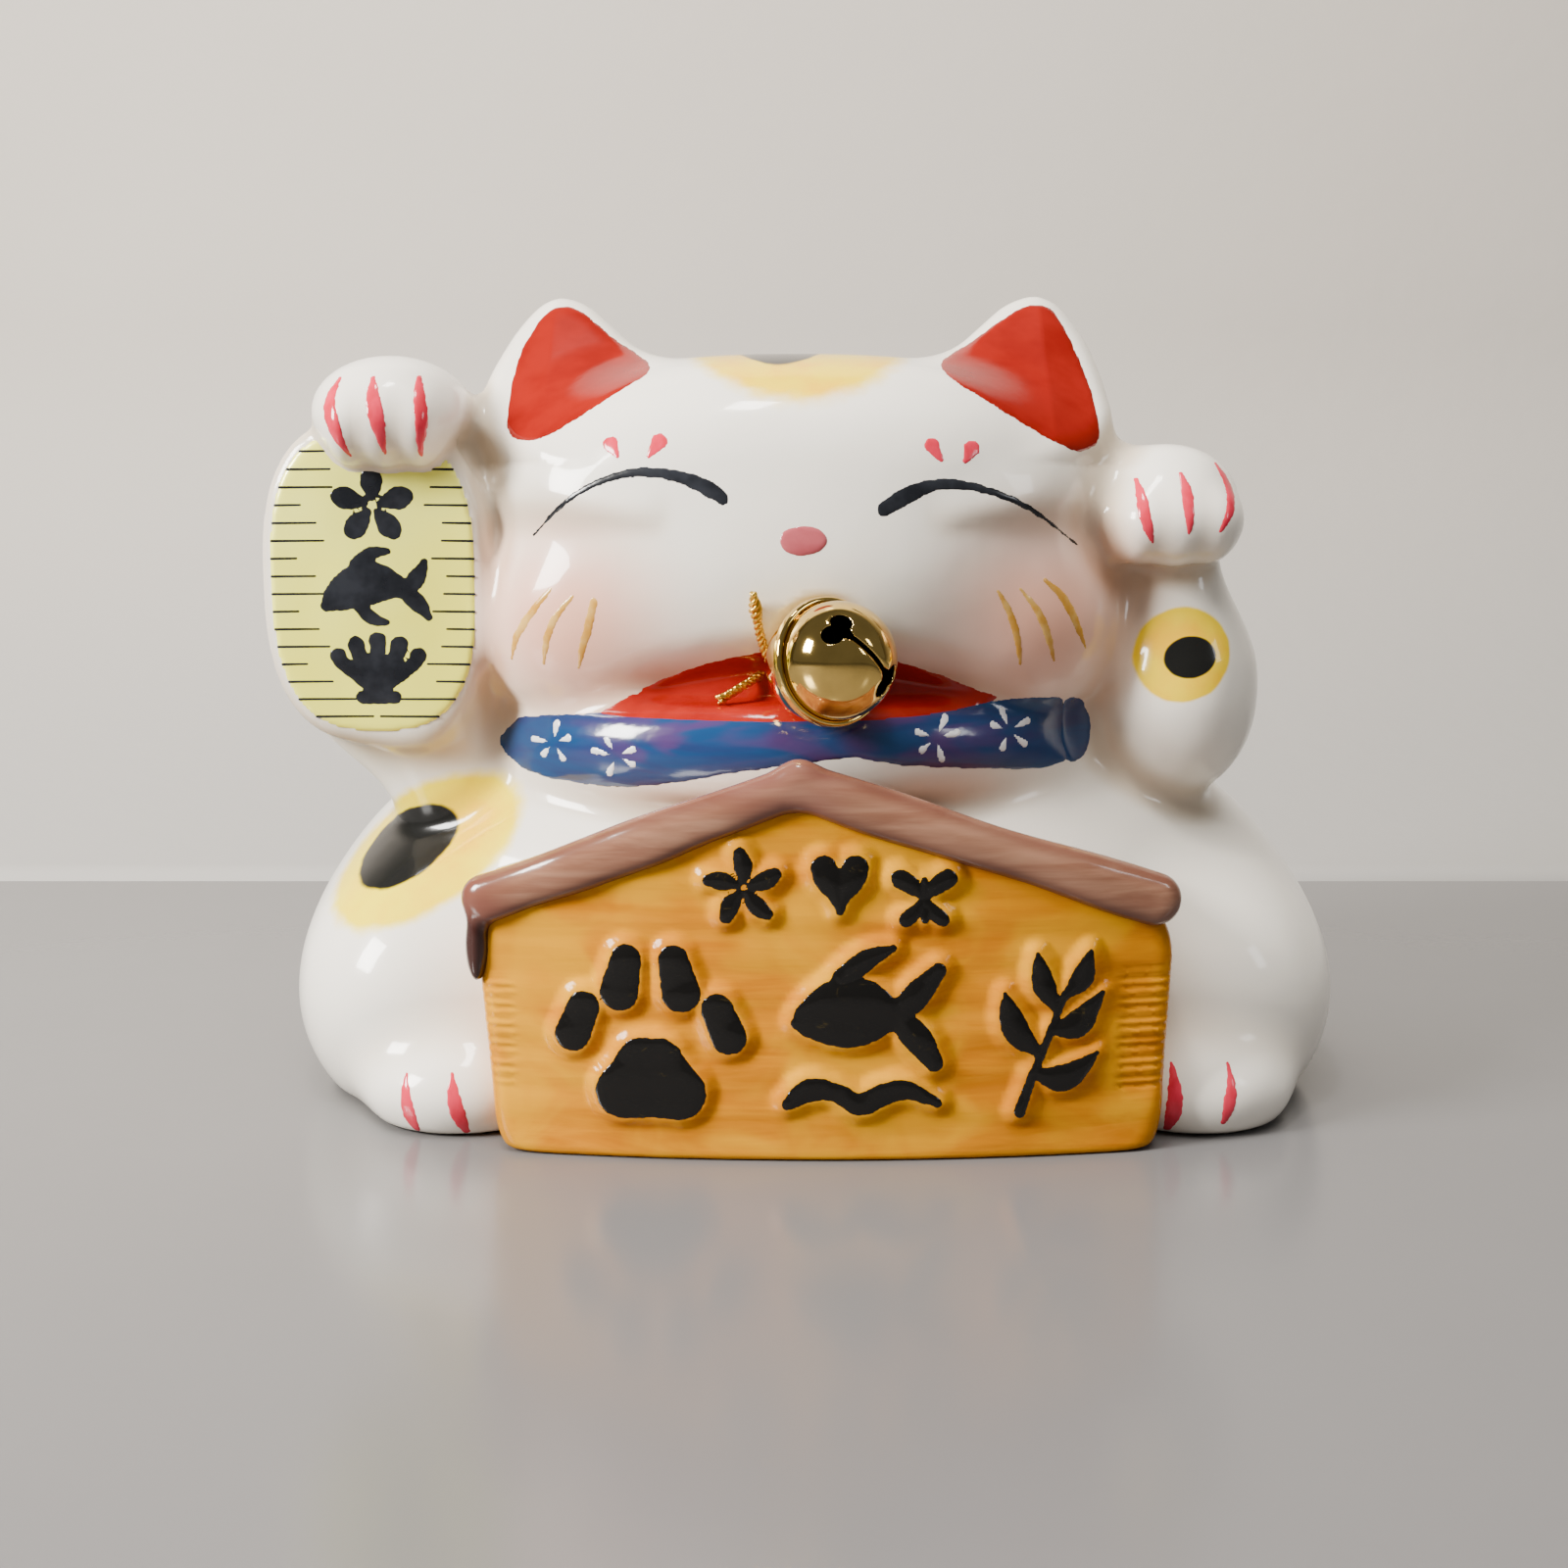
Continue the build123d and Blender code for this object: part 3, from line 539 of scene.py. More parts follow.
def outline_field(points, rough=0.04):
    """The flat distance to a closed outline, below 0 inside."""
    loop = smooth_line(points[-1:] + points + points[:2])[SMOOTH_STEPS:-SMOOTH_STEPS]

    def field(x, z):
        near, inside = np.full(x.shape, 1e9), np.zeros(x.shape, bool)
        for (x0, z0), (x1, z1) in zip(loop, loop[1:]):
            near = np.minimum(near, segment(x, z, x0, z0, x1, z1)[1])
            if z0 != z1:
                inside ^= ((z0 > z) != (z1 > z)) & (x < (x1 - x0) * (z - z0) / (z1 - z0) + x0)
        wave = np.sin(x * 1.7 + z * 0.9) + np.sin(z * 2.3 - x * 1.1 + 2) + 0.6 * np.sin(x * 4.3 + z * 3.1)
        return np.where(inside, -near, near) + rough * wave
    return field


MARK_FIELDS = {name: strokes_field(strokes, centre) for name, (centre, strokes) in MARKS.items()}


def bow(x, z, proud=0):
    """The Y of the board's face: bowed across, and leaning back as it goes up."""
    return BOW_R - BOARD_FRONT - proud + BOARD_LEAN * z - np.sqrt(np.maximum(BOW_R ** 2 - x * x, 0))


def relief(x, z):
    """How far the board's face stands proud of its bow: raised strokes, end grooves, hand-made waves."""
    d = blended([field(x, z) for field in MARK_FIELDS.values()], 1)
    t = np.clip(0.95 - d / 1.9, 0, 1)
    h = RELIEF * t * t * (3 - 2 * t)
    right, left = [np.clip(end / 1.2, 0, 1) * np.clip((top - z) / 1.5, 0, 1) * np.clip((z - foot) / 1.5, 0, 1)
                   for end, top, foot in ((x - 36.6, 24, 7), (-37 - x, 23, 8))]
    h = h + (right * 0.15 + left * 0.13) * np.sin(z * (2 * math.pi / GROOVE_STEP)) - right * 0.2
    waves = 0.05 * np.sin(z * 1.3 + 0.4 * np.sin(x * 0.22))
    return h + waves + 0.07 * np.sin(x * 0.31 + 1) * np.sin(z * 0.43)


def board_field(p):
    x, y, z = p[..., 0], p[..., 1], p[..., 2]
    sides = convex(x, z, BOARD_SIDES, 7) - 0.2
    front = bow(x, z) - relief(x, z) - y
    d = smax(sides, front, 2.2)
    d = smax(d, -z, 1)
    return smax(d, y + 26, 0.5)


def roof_field(p):
    x, y, z = p[..., 0], p[..., 1], p[..., 2]
    swell = 3.1 + (x / 43) ** 2 + 0.2 * np.sin(x * 0.21) - 0.2 * np.clip(y + 48, -2, 12)
    d = blended([segment(x, z, *a, *b)[1] - swell for a, b in zip(ROOF_LINE, ROOF_LINE[1:])], 1.5)
    d = smin(d, egg(p, (-42.3, -45, 26.2), (1.75, 2.6, 4.8)), 1.6)
    front = bow(x, z, ROOF_PROUD) - 0.12 * np.sin(x * 0.5 + z * 0.3) - y
    return smax(smax(d, front, 3.4), y + 30, 0.5)


# ---- meshes
def gradient(field, p, e=0.05):
    steps = np.eye(3, dtype=np.float32) * e
    return np.stack([(field(p + s) - field(p - s)) / (2 * e) for s in steps], -1)


def unit(rows):
    return rows / np.maximum(np.linalg.norm(rows, axis=-1, keepdims=True), 1e-6)


def surface_net(f, lo, step):
    """Quads round the zero level of f, sampled on a grid from lo."""
    inside = f < 0
    shape = tuple(n - 1 for n in f.shape)
    total, count = np.zeros(shape + (3,), np.float32), np.zeros(shape, np.float32)
    for axis in range(3):
        a, b = [slice(None)] * 3, [slice(None)] * 3
        a[axis], b[axis] = slice(0, -1), slice(1, None)
        fa, fb = f[tuple(a)], f[tuple(b)]
        cross = inside[tuple(a)] != inside[tuple(b)]
        t = np.where(cross, fa / np.where(cross, fa - fb, 1), 0)
        u, v = [i for i in range(3) if i != axis]
        for du in (0, 1):
            for dv in (0, 1):
                cut = [slice(None)] * 3
                cut[u], cut[v] = slice(du, du + shape[u]), slice(dv, dv + shape[v])
                c = cross[tuple(cut)]
                count += c
                total[..., axis] += np.where(c, t[tuple(cut)], 0)
                total[..., u] += np.where(c, du, 0)
                total[..., v] += np.where(c, dv, 0)
    active = count > 0
    index = np.full(shape, -1, np.int64)
    index[active] = np.arange(int(active.sum()))
    points = (np.argwhere(active) + total[active] / count[active][:, None]) * step + np.array(lo)
    quads = []
    for axis in range(3):
        u, v = ((1, 2), (2, 0), (0, 1))[axis]
        a, b = [slice(1, -1)] * 3, [slice(1, -1)] * 3
        a[axis], b[axis] = slice(0, -1), slice(1, None)
        first, second = inside[tuple(a)], inside[tuple(b)]
        found = np.argwhere(first != second)
        flip = first[tuple(found.T)]
        found[:, u] += 1
        found[:, v] += 1
        ring = []
        for du, dv in ((1, 1), (0, 1), (0, 0), (1, 0)):
            c = found.copy()
            c[:, u] -= du
            c[:, v] -= dv
            ring.append(index[tuple(c.T)])
        q = np.stack(ring, 1)
        q[~flip] = q[~flip][:, ::-1]
        quads.append(q)
    return points, np.concatenate(quads)


def make_object(name, points, faces, material, normals=None, attributes=None):
    """A smooth mesh piece from millimetre points; attributes are one number at each point."""
    mesh = bpy.data.meshes.new(name)
    faces = [f for f in (faces if isinstance(faces, list) else [faces]) if len(f)]
    points = np.asarray(points, float)
    mesh.vertices.add(len(points))
    mesh.vertices.foreach_set("co", (points * MM).astype(np.float32).ravel())
    sizes = np.concatenate([np.full(len(f), f.shape[1]) for f in faces])
    mesh.loops.add(int(sizes.sum()))
    corners = np.concatenate([np.asarray(f).ravel() for f in faces])
    mesh.loops.foreach_set("vertex_index", corners.astype(np.int32))
    mesh.polygons.add(len(sizes))
    mesh.polygons.foreach_set("loop_start", (np.cumsum(sizes) - sizes).astype(np.int32))
    mesh.polygons.foreach_set("use_smooth", np.ones(len(sizes), bool))
    mesh.update(calc_edges=True)
    mesh.validate()
    for key, values in (attributes or {}).items():
        layer = mesh.attributes.new(key, "FLOAT", "POINT")
        layer.data.foreach_set("value", np.asarray(values, np.float32))
    if normals is not None:
        mesh.normals_split_custom_set_from_vertices(np.asarray(normals, float).tolist())
    mesh.materials.append(material)
    obj = bpy.data.objects.new(name, mesh)
    bpy.context.scene.collection.objects.link(obj)
    return obj


def piece(obj, body, slot, *nodes):
    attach(obj, body)
    if nodes:
        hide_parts(*nodes)


RECESS_SHADE_GAIN, EDGE_GAIN = 2.2, 1.6
# how many times points are drawn onto a surface, and onto an outline
SURFACE_PULLS, OUTLINE_PULLS = 3, 4


def solid(name, field, low, high, step, material, hollows):
    """A closed surface of a distance field. Each point notes how deep in a recess it is, which sets the
    painted shade there, and how edge-like it is, judged from the field at the distance hollows above and
    below."""
    axes = [np.arange(a - 2 * step, b + 3 * step, step, dtype=np.float32) for a, b in zip(low, high)]
    grid = np.stack(np.meshgrid(*axes, indexing="ij"), -1)
    points, quads = surface_net(field(grid), [a[0] for a in axes], step)
    p = points.astype(np.float32)
    for _ in range(SURFACE_PULLS):
        g = gradient(field, p)
        move = (field(p) / np.maximum((g * g).sum(-1), 1e-4))[:, None] * g
        reach = np.linalg.norm(move, axis=1, keepdims=True)
        p = p - move * np.minimum(1, 0.6 * step / np.maximum(reach, 1e-9))
    normal = unit(gradient(field, p, 0.3))
    above = (field(p + normal * hollows) - hollows) / hollows
    below = (field(p - normal * hollows) + hollows) / hollows
    return make_object(name, p, quads, material, normal, {"hollow": np.clip(-above * RECESS_SHADE_GAIN, 0, 1),
                                                          "edge": np.clip(below * EDGE_GAIN, 0, 1)})


def flat_grid(field, low, high, step):
    """Quads that cover the inside of a flat field, with its rim points moved onto the outline."""
    xs, zs = np.arange(low[0], high[0] + step, step), np.arange(low[1], high[1] + step, step)
    x, z = np.meshgrid(xs, zs, indexing="ij")
    d = field(x, z)
    inner = d < 0
    keep = inner[:-1, :-1] | inner[1:, :-1] | inner[:-1, 1:] | inner[1:, 1:]
    used = np.zeros(x.shape, bool)
    for i in (0, 1):
        for j in (0, 1):
            used[i:x.shape[0] - 1 + i, j:x.shape[1] - 1 + j] |= keep
    index = np.full(x.shape, -1)
    index[used] = np.arange(int(used.sum()))
    x, z, d = x[used], z[used], d[used]
    rim = d >= 0
    for _ in range(OUTLINE_PULLS):
        e, f = 0.02, field(x[rim], z[rim])
        gx = (field(x[rim] + e, z[rim]) - f) / e
        gz = (field(x[rim], z[rim] + e) - f) / e
        size = np.maximum(gx * gx + gz * gz, 0.2)
        x[rim] -= f * gx / size
        z[rim] -= f * gz / size
    cells = np.argwhere(keep)
    corners = ((0, 0), (1, 0), (1, 1), (0, 1))
    quads = np.stack([index[cells[:, 0] + i, cells[:, 1] + j] for i, j in corners], 1)
    return x, z, np.where(rim, 0, -d), quads


LINE_START_Y, LINE_STEPS, STEP_SHARE = -52, 44, 0.88


def lay_on(field, x, z):
    """Where lines along +Y from in front meet a field, and the outward normals there."""
    y = np.full(x.shape, LINE_START_Y, np.float32)
    for _ in range(LINE_STEPS):
        p = np.stack([x, y, z], -1).astype(np.float32)
        y = y + field(p) * STEP_SHARE
    p = np.stack([x, y, z], -1).astype(np.float32)
    return p, unit(gradient(field, p))


def brushed(name, flat, low, high, material, slot, nodes=(), *, step, rise=0.1, run=0.35, under=0.03,
            skin=cat_skin, lift=0):
    """Enamel laid on the surface: thick in the middle of each stroke and sunk into the glaze at its rim."""
    x, z, depth, quads = flat_grid(flat, low, high, step)
    p, normal = lay_on(skin, x, z)
    height = lift + rise * (1 - np.exp(-depth / run)) - under * (depth <= 0)
    piece(make_object(name, p + normal * height[:, None], quads, material), "cat", slot, *nodes)


# ---- the ceramic casting
body = solid("cat_body", cat_shell, (-76, -44, 0), (76, 51, 111), 0.95, WHITE, 1.6)
piece(body, "cat", "white_glaze", "cat_shell")
board = solid("board_panel", board_field, (-43, -52, 0), (45, -25, 48), 0.5, AMBER, 0.8)
piece(board, "cat", "amber_glaze", "sign_board")
roof = solid("board_roof", roof_field, (-47, -52, 22), (49, -29, 52), 0.55, BROWN, 1.2)
piece(roof, "cat", "brown_glaze", "sign_roof")


def box_of(strokes, centre=(0, 0)):
    """The corners of a flat box that leaves some room about a set of strokes."""
    rows = np.array([row for s in strokes for row in s], float)
    r = rows[:, 2].max() + 0.6
    return rows[:, :2].min(0) - r + centre, rows[:, :2].max(0) + r + centre


for name, (centre, strokes) in MARKS.items():
    low, high = box_of(strokes, centre)
    brushed(name + "_ink", MARK_FIELDS[name], low, high, BLACK, "black_glaze", (name,), step=0.24,
            rise=0.3, run=0.8, skin=board_field)

# ---- face, ears and paws: rows are (x, z, radius)
EYE_LEFT = [[(-37, 76.3, 0.18), (-32.6, 80.2, 0.32), (-27.9, 82.9, 0.46), (-22.8, 84.1, 0.6),
             (-17.8, 83.6, 0.78), (-13.9, 82.1, 1.05), (-12, 80.8, 0.85)]]
EYE_RIGHT = [[(34.2, 75.1, 0.18), (29.2, 78.5, 0.32), (24.4, 80.9, 0.45), (19.1, 82.4, 0.62),
              (14.7, 82.5, 0.8), (10.9, 81.1, 1.12), (8.1, 79.4, 0.88)]]
BROWS = [[(-26.3, 87.7, 1.05), (-25.4, 86.2, 0.35)], [(-20, 87.9, 1.1), (-21.3, 86.1, 0.35)],
         [(14.3, 87.4, 1.05), (15.5, 85.6, 0.35)], [(19.4, 87.1, 1.1), (18.6, 85.6, 0.4)]]
WHISKERS = [
    [(-34.4, 69.5, 0.3), (-37.3, 66.1, 0.55), (-39.3, 63.1, 0.5), (-40.2, 60.3, 0.2)],
    [(-31.5, 68.5, 0.3), (-33.9, 65.6, 0.5), (-35.1, 62.6, 0.5), (-35.6, 59.8, 0.2)],
    [(-28.6, 67.9, 0.55), (-29.4, 64.6, 0.6), (-30.3, 61.8, 0.5), (-30.9, 59.3, 0.2)],
    [(23, 69.2, 0.25), (24.6, 66.5, 0.5), (25.7, 63.3, 0.5), (26.3, 59.9, 0.25)],
    [(26, 69.5, 0.25), (28.5, 66.4, 0.55), (29.9, 63.3, 0.5), (30.9, 60.2, 0.2)],
    [(29.4, 70.6, 0.3), (31.9, 68.3, 0.6), (33.8, 65.1, 0.55), (35.4, 61.6, 0.2)]]
CLAWS_TABLET = [
    [(-61.4, 96.2, 0.35), (-62.2, 93.4, 0.85), (-61.9, 91.2, 1), (-61, 88.6, 0.7), (-60, 86.4, 0.2)],
    [(-56.7, 96.1, 0.35), (-56.4, 93.6, 0.9), (-55.9, 91, 1), (-55.5, 88.9, 0.7), (-55.4, 86.7, 0.2)],
    [(-51.2, 96.4, 0.35), (-50.7, 93.8, 0.7), (-50.4, 91.4, 0.8), (-50.5, 89, 0.6), (-50.9, 86.5, 0.2)]]
CLAWS_BENT = [
    [(41.8, 83.6, 0.3), (42, 81.2, 0.7), (42.2, 79, 0.75), (42.8, 77, 0.6), (43.5, 75.4, 0.2)],
    [(47.3, 84.3, 0.3), (47.7, 82, 0.75), (47.8, 80, 0.75), (47.9, 78.2, 0.55), (47.9, 76.5, 0.2)],
    [(52.8, 85.7, 0.3), (53.8, 83.4, 0.65), (53.9, 81.4, 0.7), (53.2, 79, 0.6), (52, 76.8, 0.2)]]
CLAWS_FEET = [
    [(-52.6, 8, 0.2), (-52.5, 5.6, 0.75), (-52.1, 3.2, 0.95), (-51.4, 0.9, 0.5)],
    [(-46.5, 8.4, 0.2), (-46.2, 6, 0.85), (-45.6, 3.4, 1), (-44.9, 1, 0.5)],
    [(45.3, 9.2, 0.3), (45.4, 6.2, 0.9), (45.2, 3.6, 1), (44.8, 1.2, 0.5)],
    [(52.5, 9.4, 0.2), (52.5, 7, 0.65), (52.2, 4.8, 0.85), (51.6, 2.4, 0.4)]]
for name, strokes, material, slot in (
        ("eye_left", EYE_LEFT, LINE_BLACK, "black_glaze"),
        ("eye_right", EYE_RIGHT, LINE_BLACK, "black_glaze"),
        ("brow_dots", BROWS, CLAW_RED, "red_glaze"),
        ("whisker_strokes", WHISKERS, OCHRE, "amber_glaze"),
        ("claws_tablet_paw", CLAWS_TABLET, CLAW_RED, "red_glaze"),
        ("claws_bent_paw", CLAWS_BENT, CLAW_RED, "red_glaze"),
        ("claws_feet", CLAWS_FEET, CLAW_RED, "red_glaze")):
    low, high = box_of(strokes)
    brushed(name, strokes_field(strokes, rough=0.03), low, high, material, slot, step=0.22, rise=0.07,
            run=0.3)
NOSE = [(-4.8, 75.6), (-4.1, 76.9), (-1.9, 77.4), (0.3, 76.9), (1.1, 75.6), (0.2, 74.3), (-1.9, 73.7),
        (-4.1, 74.2)]
brushed("nose", outline_field(NOSE, 0.02), (-6, 73), (2, 78.5), NOSE_PINK, "red_glaze", step=0.25,
        rise=0.18)
EAR_PAINT_LEFT = [(-37.6, 106.3), (-35.4, 107.7), (-32.6, 107.3), (-27.6, 103.2), (-21.9, 98.4),
                  (-25.8, 94.6), (-34.6, 89.2), (-38.8, 88.6), (-40.9, 90.6), (-41, 96),
                  (-40.1, 101.4)]
EAR_PAINT_RIGHT = [(28.2, 107.4), (30.6, 108), (32.9, 107.4), (35.2, 102.4), (37.1, 94.8), (37.4, 89.2),
                   (35.4, 87.4), (32.4, 87.6), (25.4, 91.2), (16.4, 97.9), (22, 103.2)]
for name, outline in (("ear_red_left", EAR_PAINT_LEFT), ("ear_red_right", EAR_PAINT_RIGHT)):
    rows = np.array(outline)
    brushed(name, outline_field(outline), rows.min(0) - 1, rows.max(0) + 1, EAR_RED, "red_glaze", step=0.4)

# ---- collar and bib
COLLAR = [(-43.3, 49.2), (-41.6, 50.9), (-40.2, 52), (-35.6, 52.7), (-26.6, 53.6), (-19.4, 54),
          (-11.7, 54.2), (-4.3, 54.2), (4.4, 54.4), (13.2, 54.6), (21.3, 54.9), (28, 55.2),
          (32.6, 54.9), (33.6, 52.6), (33.2, 49.6), (34, 46.6), (29.5, 45.6), (22.4, 46.2),
          (15.8, 46.8), (9.4, 47.5), (4.3, 48.4), (-1.8, 47.8), (-8, 46.9), (-12.4, 46.1),
          (-16.8, 45.2), (-22, 44.2), (-27.4, 43.7), (-33.6, 44), (-38, 44.5), (-41.4, 45.9),
          (-43.2, 47.6)]
DAB = [(33.4, 54.4), (35.8, 54.6), (37.2, 52.8), (37.7, 50.4), (37.2, 47.6), (35.8, 46.2), (33.8, 46.4),
       (32.8, 50)]
BIB = [(-28, 53), (-26, 54.7), (-23.2, 56.4), (-19.6, 58), (-14.6, 59.8), (-8, 61.4),
       (-2, 62), (4.6, 61.6), (10.4, 60.2), (16, 58.4), (20.4, 56.6), (23.6, 55), (14, 52.8),
       (-2, 52.2), (-18, 52.4)]
brushed("bib_red", outline_field(BIB), (-30, 51), (26, 64), RED, "red_glaze", ("bib",), step=0.4,
        rise=0.16)
brushed("collar_blue", outline_field(COLLAR, 0.045), (-45, 42), (36, 57), BLUE, "blue_glaze",
        ("collar_band",), step=0.35, rise=0.14, run=0.5)
brushed("collar_end_dab", outline_field(DAB, 0.03), (31, 45), (39, 56), BLUE, "blue_glaze", step=0.35,
        rise=0.2, run=0.5)
# each blossom's x and z, and its turn in degrees
BLOSSOMS = ((-34.8, 49.1, 20), (-25.9, 48.1, 35), (15.1, 50.6, 5), (25.1, 51, 25))
petals = []
for cx, cz, turn in BLOSSOMS:
    for k in range(5):
        a = math.radians(turn + 72 * k) + 0.22 * math.sin(2.3 * k + cx)
        u, v = math.cos(a), 0.88 * math.sin(a)
        far = 2.75 + 0.35 * math.sin(1.7 * k + cz)
        petals.append([(cx + 0.9 * u, cz + 0.9 * v, 0.12), (cx + 1.9 * u, cz + 1.9 * v, 0.4),
                       (cx + far * u, cz + far * v, 0.55)])
low, high = box_of(petals)
brushed("collar_blossoms", strokes_field(petals, rough=0.02, blend=0.05), low, high, PETAL,
        "white_glaze", step=0.24, rise=0.08, lift=0.13, under=0.08)

# ---- foil on the tablet
FOIL_HALF, FOIL_POWER = (13.6, 19.8), 2.8
# the glazed surface without the paw, so the foil runs straight up behind the paw
tablet_face = functools.partial(cat_skin, paw=False)


def foil_flat(x, z):
    return squarish(x, z, TABLET_MIDDLE, FOIL_HALF, FOIL_POWER, 13.5)


foil_low, foil_high = (-72.5, 50), (-44.5, 90.5)
brushed("foil_plate", foil_flat, foil_low, foil_high, FOIL, "gold_foil", ("koban_foil",), step=0.5,
        rise=0.14, run=0.05, under=0.12, skin=tablet_face)
FOIL_ROWS, ROW_LOW, ROW_STEP = 17, 52.4, 2.32
lines = []
for row in range(FOIL_ROWS):
    z = ROW_LOW + ROW_STEP * row
    wide = 1 - abs((z - TABLET_MIDDLE[1]) / FOIL_HALF[1]) ** FOIL_POWER
    half = FOIL_HALF[0] * max(0, wide) ** (1 / FOIL_POWER) - 0.25
    for side, long in ((-1, 1), (1, 0.55)):
        reach = 3.2 + 4.2 * (0.5 + 0.5 * math.sin(row * 2.1 + side * 1.3)) * long
        if row in (0, 1):
            reach = half * 0.94
        x0 = TABLET_MIDDLE[0] + side * half
        lines.append([(x0, z, 0.17), (x0 - side * reach, z + 0.05, 0.14)])
brushed("foil_lines", strokes_field(lines, rough=0, blend=0.01), foil_low, foil_high, LINE_BLACK,
        "black_glaze", step=0.2, rise=0.02, lift=0.15, under=0.01, skin=tablet_face)
# a blossom's petals, five about a point above the middle
PETAL_ROWS = ((1.1, 1.1, 0.5), (3.6, 3.3, 1.5), (4.6, 4.2, 1.3))
ORNAMENTS = [[(wide * math.cos(a), 12.6 + high * math.sin(a), r) for wide, high, r in PETAL_ROWS]
             for a in [math.radians(90 + 72 * k) for k in range(5)]]
ORNAMENTS += [
    # a leaping fish
    [(-6.8, -1.6, 0.8), (-4.4, 0.2, 2.3), (-1, 1.6, 3), (2.2, 1.4, 1.9), (4.4, 0.4, 1)],
    [(4.2, 0.5, 0.9), (5.8, 2.2, 1.2), (7, 4.6, 0.5)],
    [(4.2, 0.3, 0.9), (5.9, -1.2, 1.2), (7.4, -3.2, 0.5)],
    [(-2.6, 4.2, 0.9), (-0.4, 5.8, 0.9), (2, 6.2, 0.4)],
    [(-2, -1.8, 0.9), (-0.4, -3.4, 0.9), (1.6, -4, 0.4)]]
# a scallop shell: ribs that spread from its foot, and the foot
SHELL_RIBS = (((-4.4, -10.2, 1), (-5.4, -8.8, 1.1)), ((-2.4, -8.6, 1.1), (-2.8, -7.2, 1.2)),
              ((0.2, -7.8, 1.1), (0.2, -6.6, 1.2)), ((2.8, -8.6, 1.1), (3.2, -7.2, 1.2)),
              ((4.8, -10.2, 1), (5.8, -8.8, 1.1)))
ORNAMENTS += [[(0, -13.6, 1.2), *rib] for rib in SHELL_RIBS] + [[(-2.2, -14.8, 0.9), (2.4, -14.8, 0.9)]]
ornaments = [[(x * 0.95, z * 0.92, r * 0.97) for x, z, r in s] for s in ORNAMENTS]
ORNAMENT_MIDDLE = (-58.4, 68.6)
low, high = box_of(ornaments, ORNAMENT_MIDDLE)
brushed("foil_ornaments", strokes_field(ornaments, ORNAMENT_MIDDLE, rough=0.03, blend=0.2), low, high,
        LINE_BLACK, "black_glaze", step=0.22, rise=0.02, lift=0.16, under=0.01, skin=tablet_face)


# ---- bell
BELL_CENTRE, BELL_TURN, BELL_RISE, BELL_ROLL = (1.5, -40.8, 60.8), 32, 10, -45
BELL_R, BELL_HALF, SHEET = 7.3, 1.5, 0.4
turn, rise = math.radians(BELL_TURN), math.radians(BELL_RISE)
axis = np.array([math.sin(turn) * math.cos(rise), -math.cos(turn) * math.cos(rise), math.sin(rise)])
across = np.cross([0, 0, 1], axis)
across /= np.linalg.norm(across)
BELL_AXES = np.stack([across, np.cross(axis, across), axis])


def bell_place(p):
    return np.asarray(p) @ BELL_AXES + np.array(BELL_CENTRE)


def slot_flat(u, v):
    """The slit across the pole, with a heart at each end, in arc lengths from the pole."""
    a = math.radians(BELL_ROLL)
    s, t = u * math.cos(a) + v * math.sin(a), -u * math.sin(a) + v * math.cos(a)
    s, t = np.abs(s), np.abs(t)
    slit = np.maximum(t - 0.35, s - 4)
    lobe = np.hypot(s - 5.25, t - 1.15) - 1.42
    root = np.hypot(s - 3.2, t) - 0.45
    wedge = np.maximum(np.maximum(3.2 - s, s - 5.4), t - (0.42 + (s - 3.2) * 0.72))
    return smin(smin(slit, smin(lobe, root, 0.3), 0.2), wedge, 0.3)


def dome(u, v, radius):
    """Points of a half sphere that runs on as a short cylinder, from arc lengths from its pole."""
    r = np.hypot(u, v)
    polar = np.minimum(r / BELL_R, math.pi / 2)
    spare = np.maximum(r - BELL_R * math.pi / 2, 0)
    ring = radius * np.sin(polar) / np.maximum(r, 1e-9)
    return np.stack([u * ring, v * ring, BELL_HALF + radius * np.cos(polar) - spare], -1)


def bell_front():
    """The slit dome's points and quads, and for each point whether it is on the inside."""
    reach = BELL_R * math.pi / 2 + BELL_HALF - 0.05

    def flat(u, v):
        return smax(np.hypot(u, v) - reach, -slot_flat(u, v), 0.02)
    u, v, _, quads = flat_grid(flat, (-reach - 0.4,) * 2, (reach + 0.4,) * 2, 0.22)
    lip = 0.1 * np.exp(-np.abs(slot_flat(u, v)) / 0.35)
    outside = dome(u, v, BELL_R)
    outside -= dome_outward(outside) * lip[:, None]
    inside = dome(u, v, BELL_R - SHEET)
    n = len(u)
    edges = np.concatenate([np.stack([quads[:, i], quads[:, (i + 1) % 4]], 1) for i in range(4)])
    there, back = edges[:, 0] * n + edges[:, 1], edges[:, 1] * n + edges[:, 0]
    rim = edges[~np.isin(there, back)]
    walls = np.stack([rim[:, 1], rim[:, 0], rim[:, 0] + n, rim[:, 1] + n], 1)
    all_quads = np.concatenate([quads, quads[:, ::-1] + n, walls])
    return np.concatenate([outside, inside]), all_quads, np.repeat([0, 1], n)


def dome_outward(p):
    """Outward directions of the dome at points in the bell's own axes."""
    q = p - np.array([0, 0, BELL_HALF])
    q[:, 2] = np.maximum(q[:, 2], 0)
    return q / np.linalg.norm(q, axis=1, keepdims=True)


def ring_quads(rows, sides, closed):
    """Quads between neighbouring rings of points; closed joins the last ring to the first."""
    i = np.arange(rows if closed else rows - 1)[:, None]
    j = np.arange(sides)[None]
    k, m = (i + 1) % rows, (j + 1) % sides
    return np.stack([i * sides + j, i * sides + m, k * sides + m, k * sides + j], -1).reshape(-1, 4)


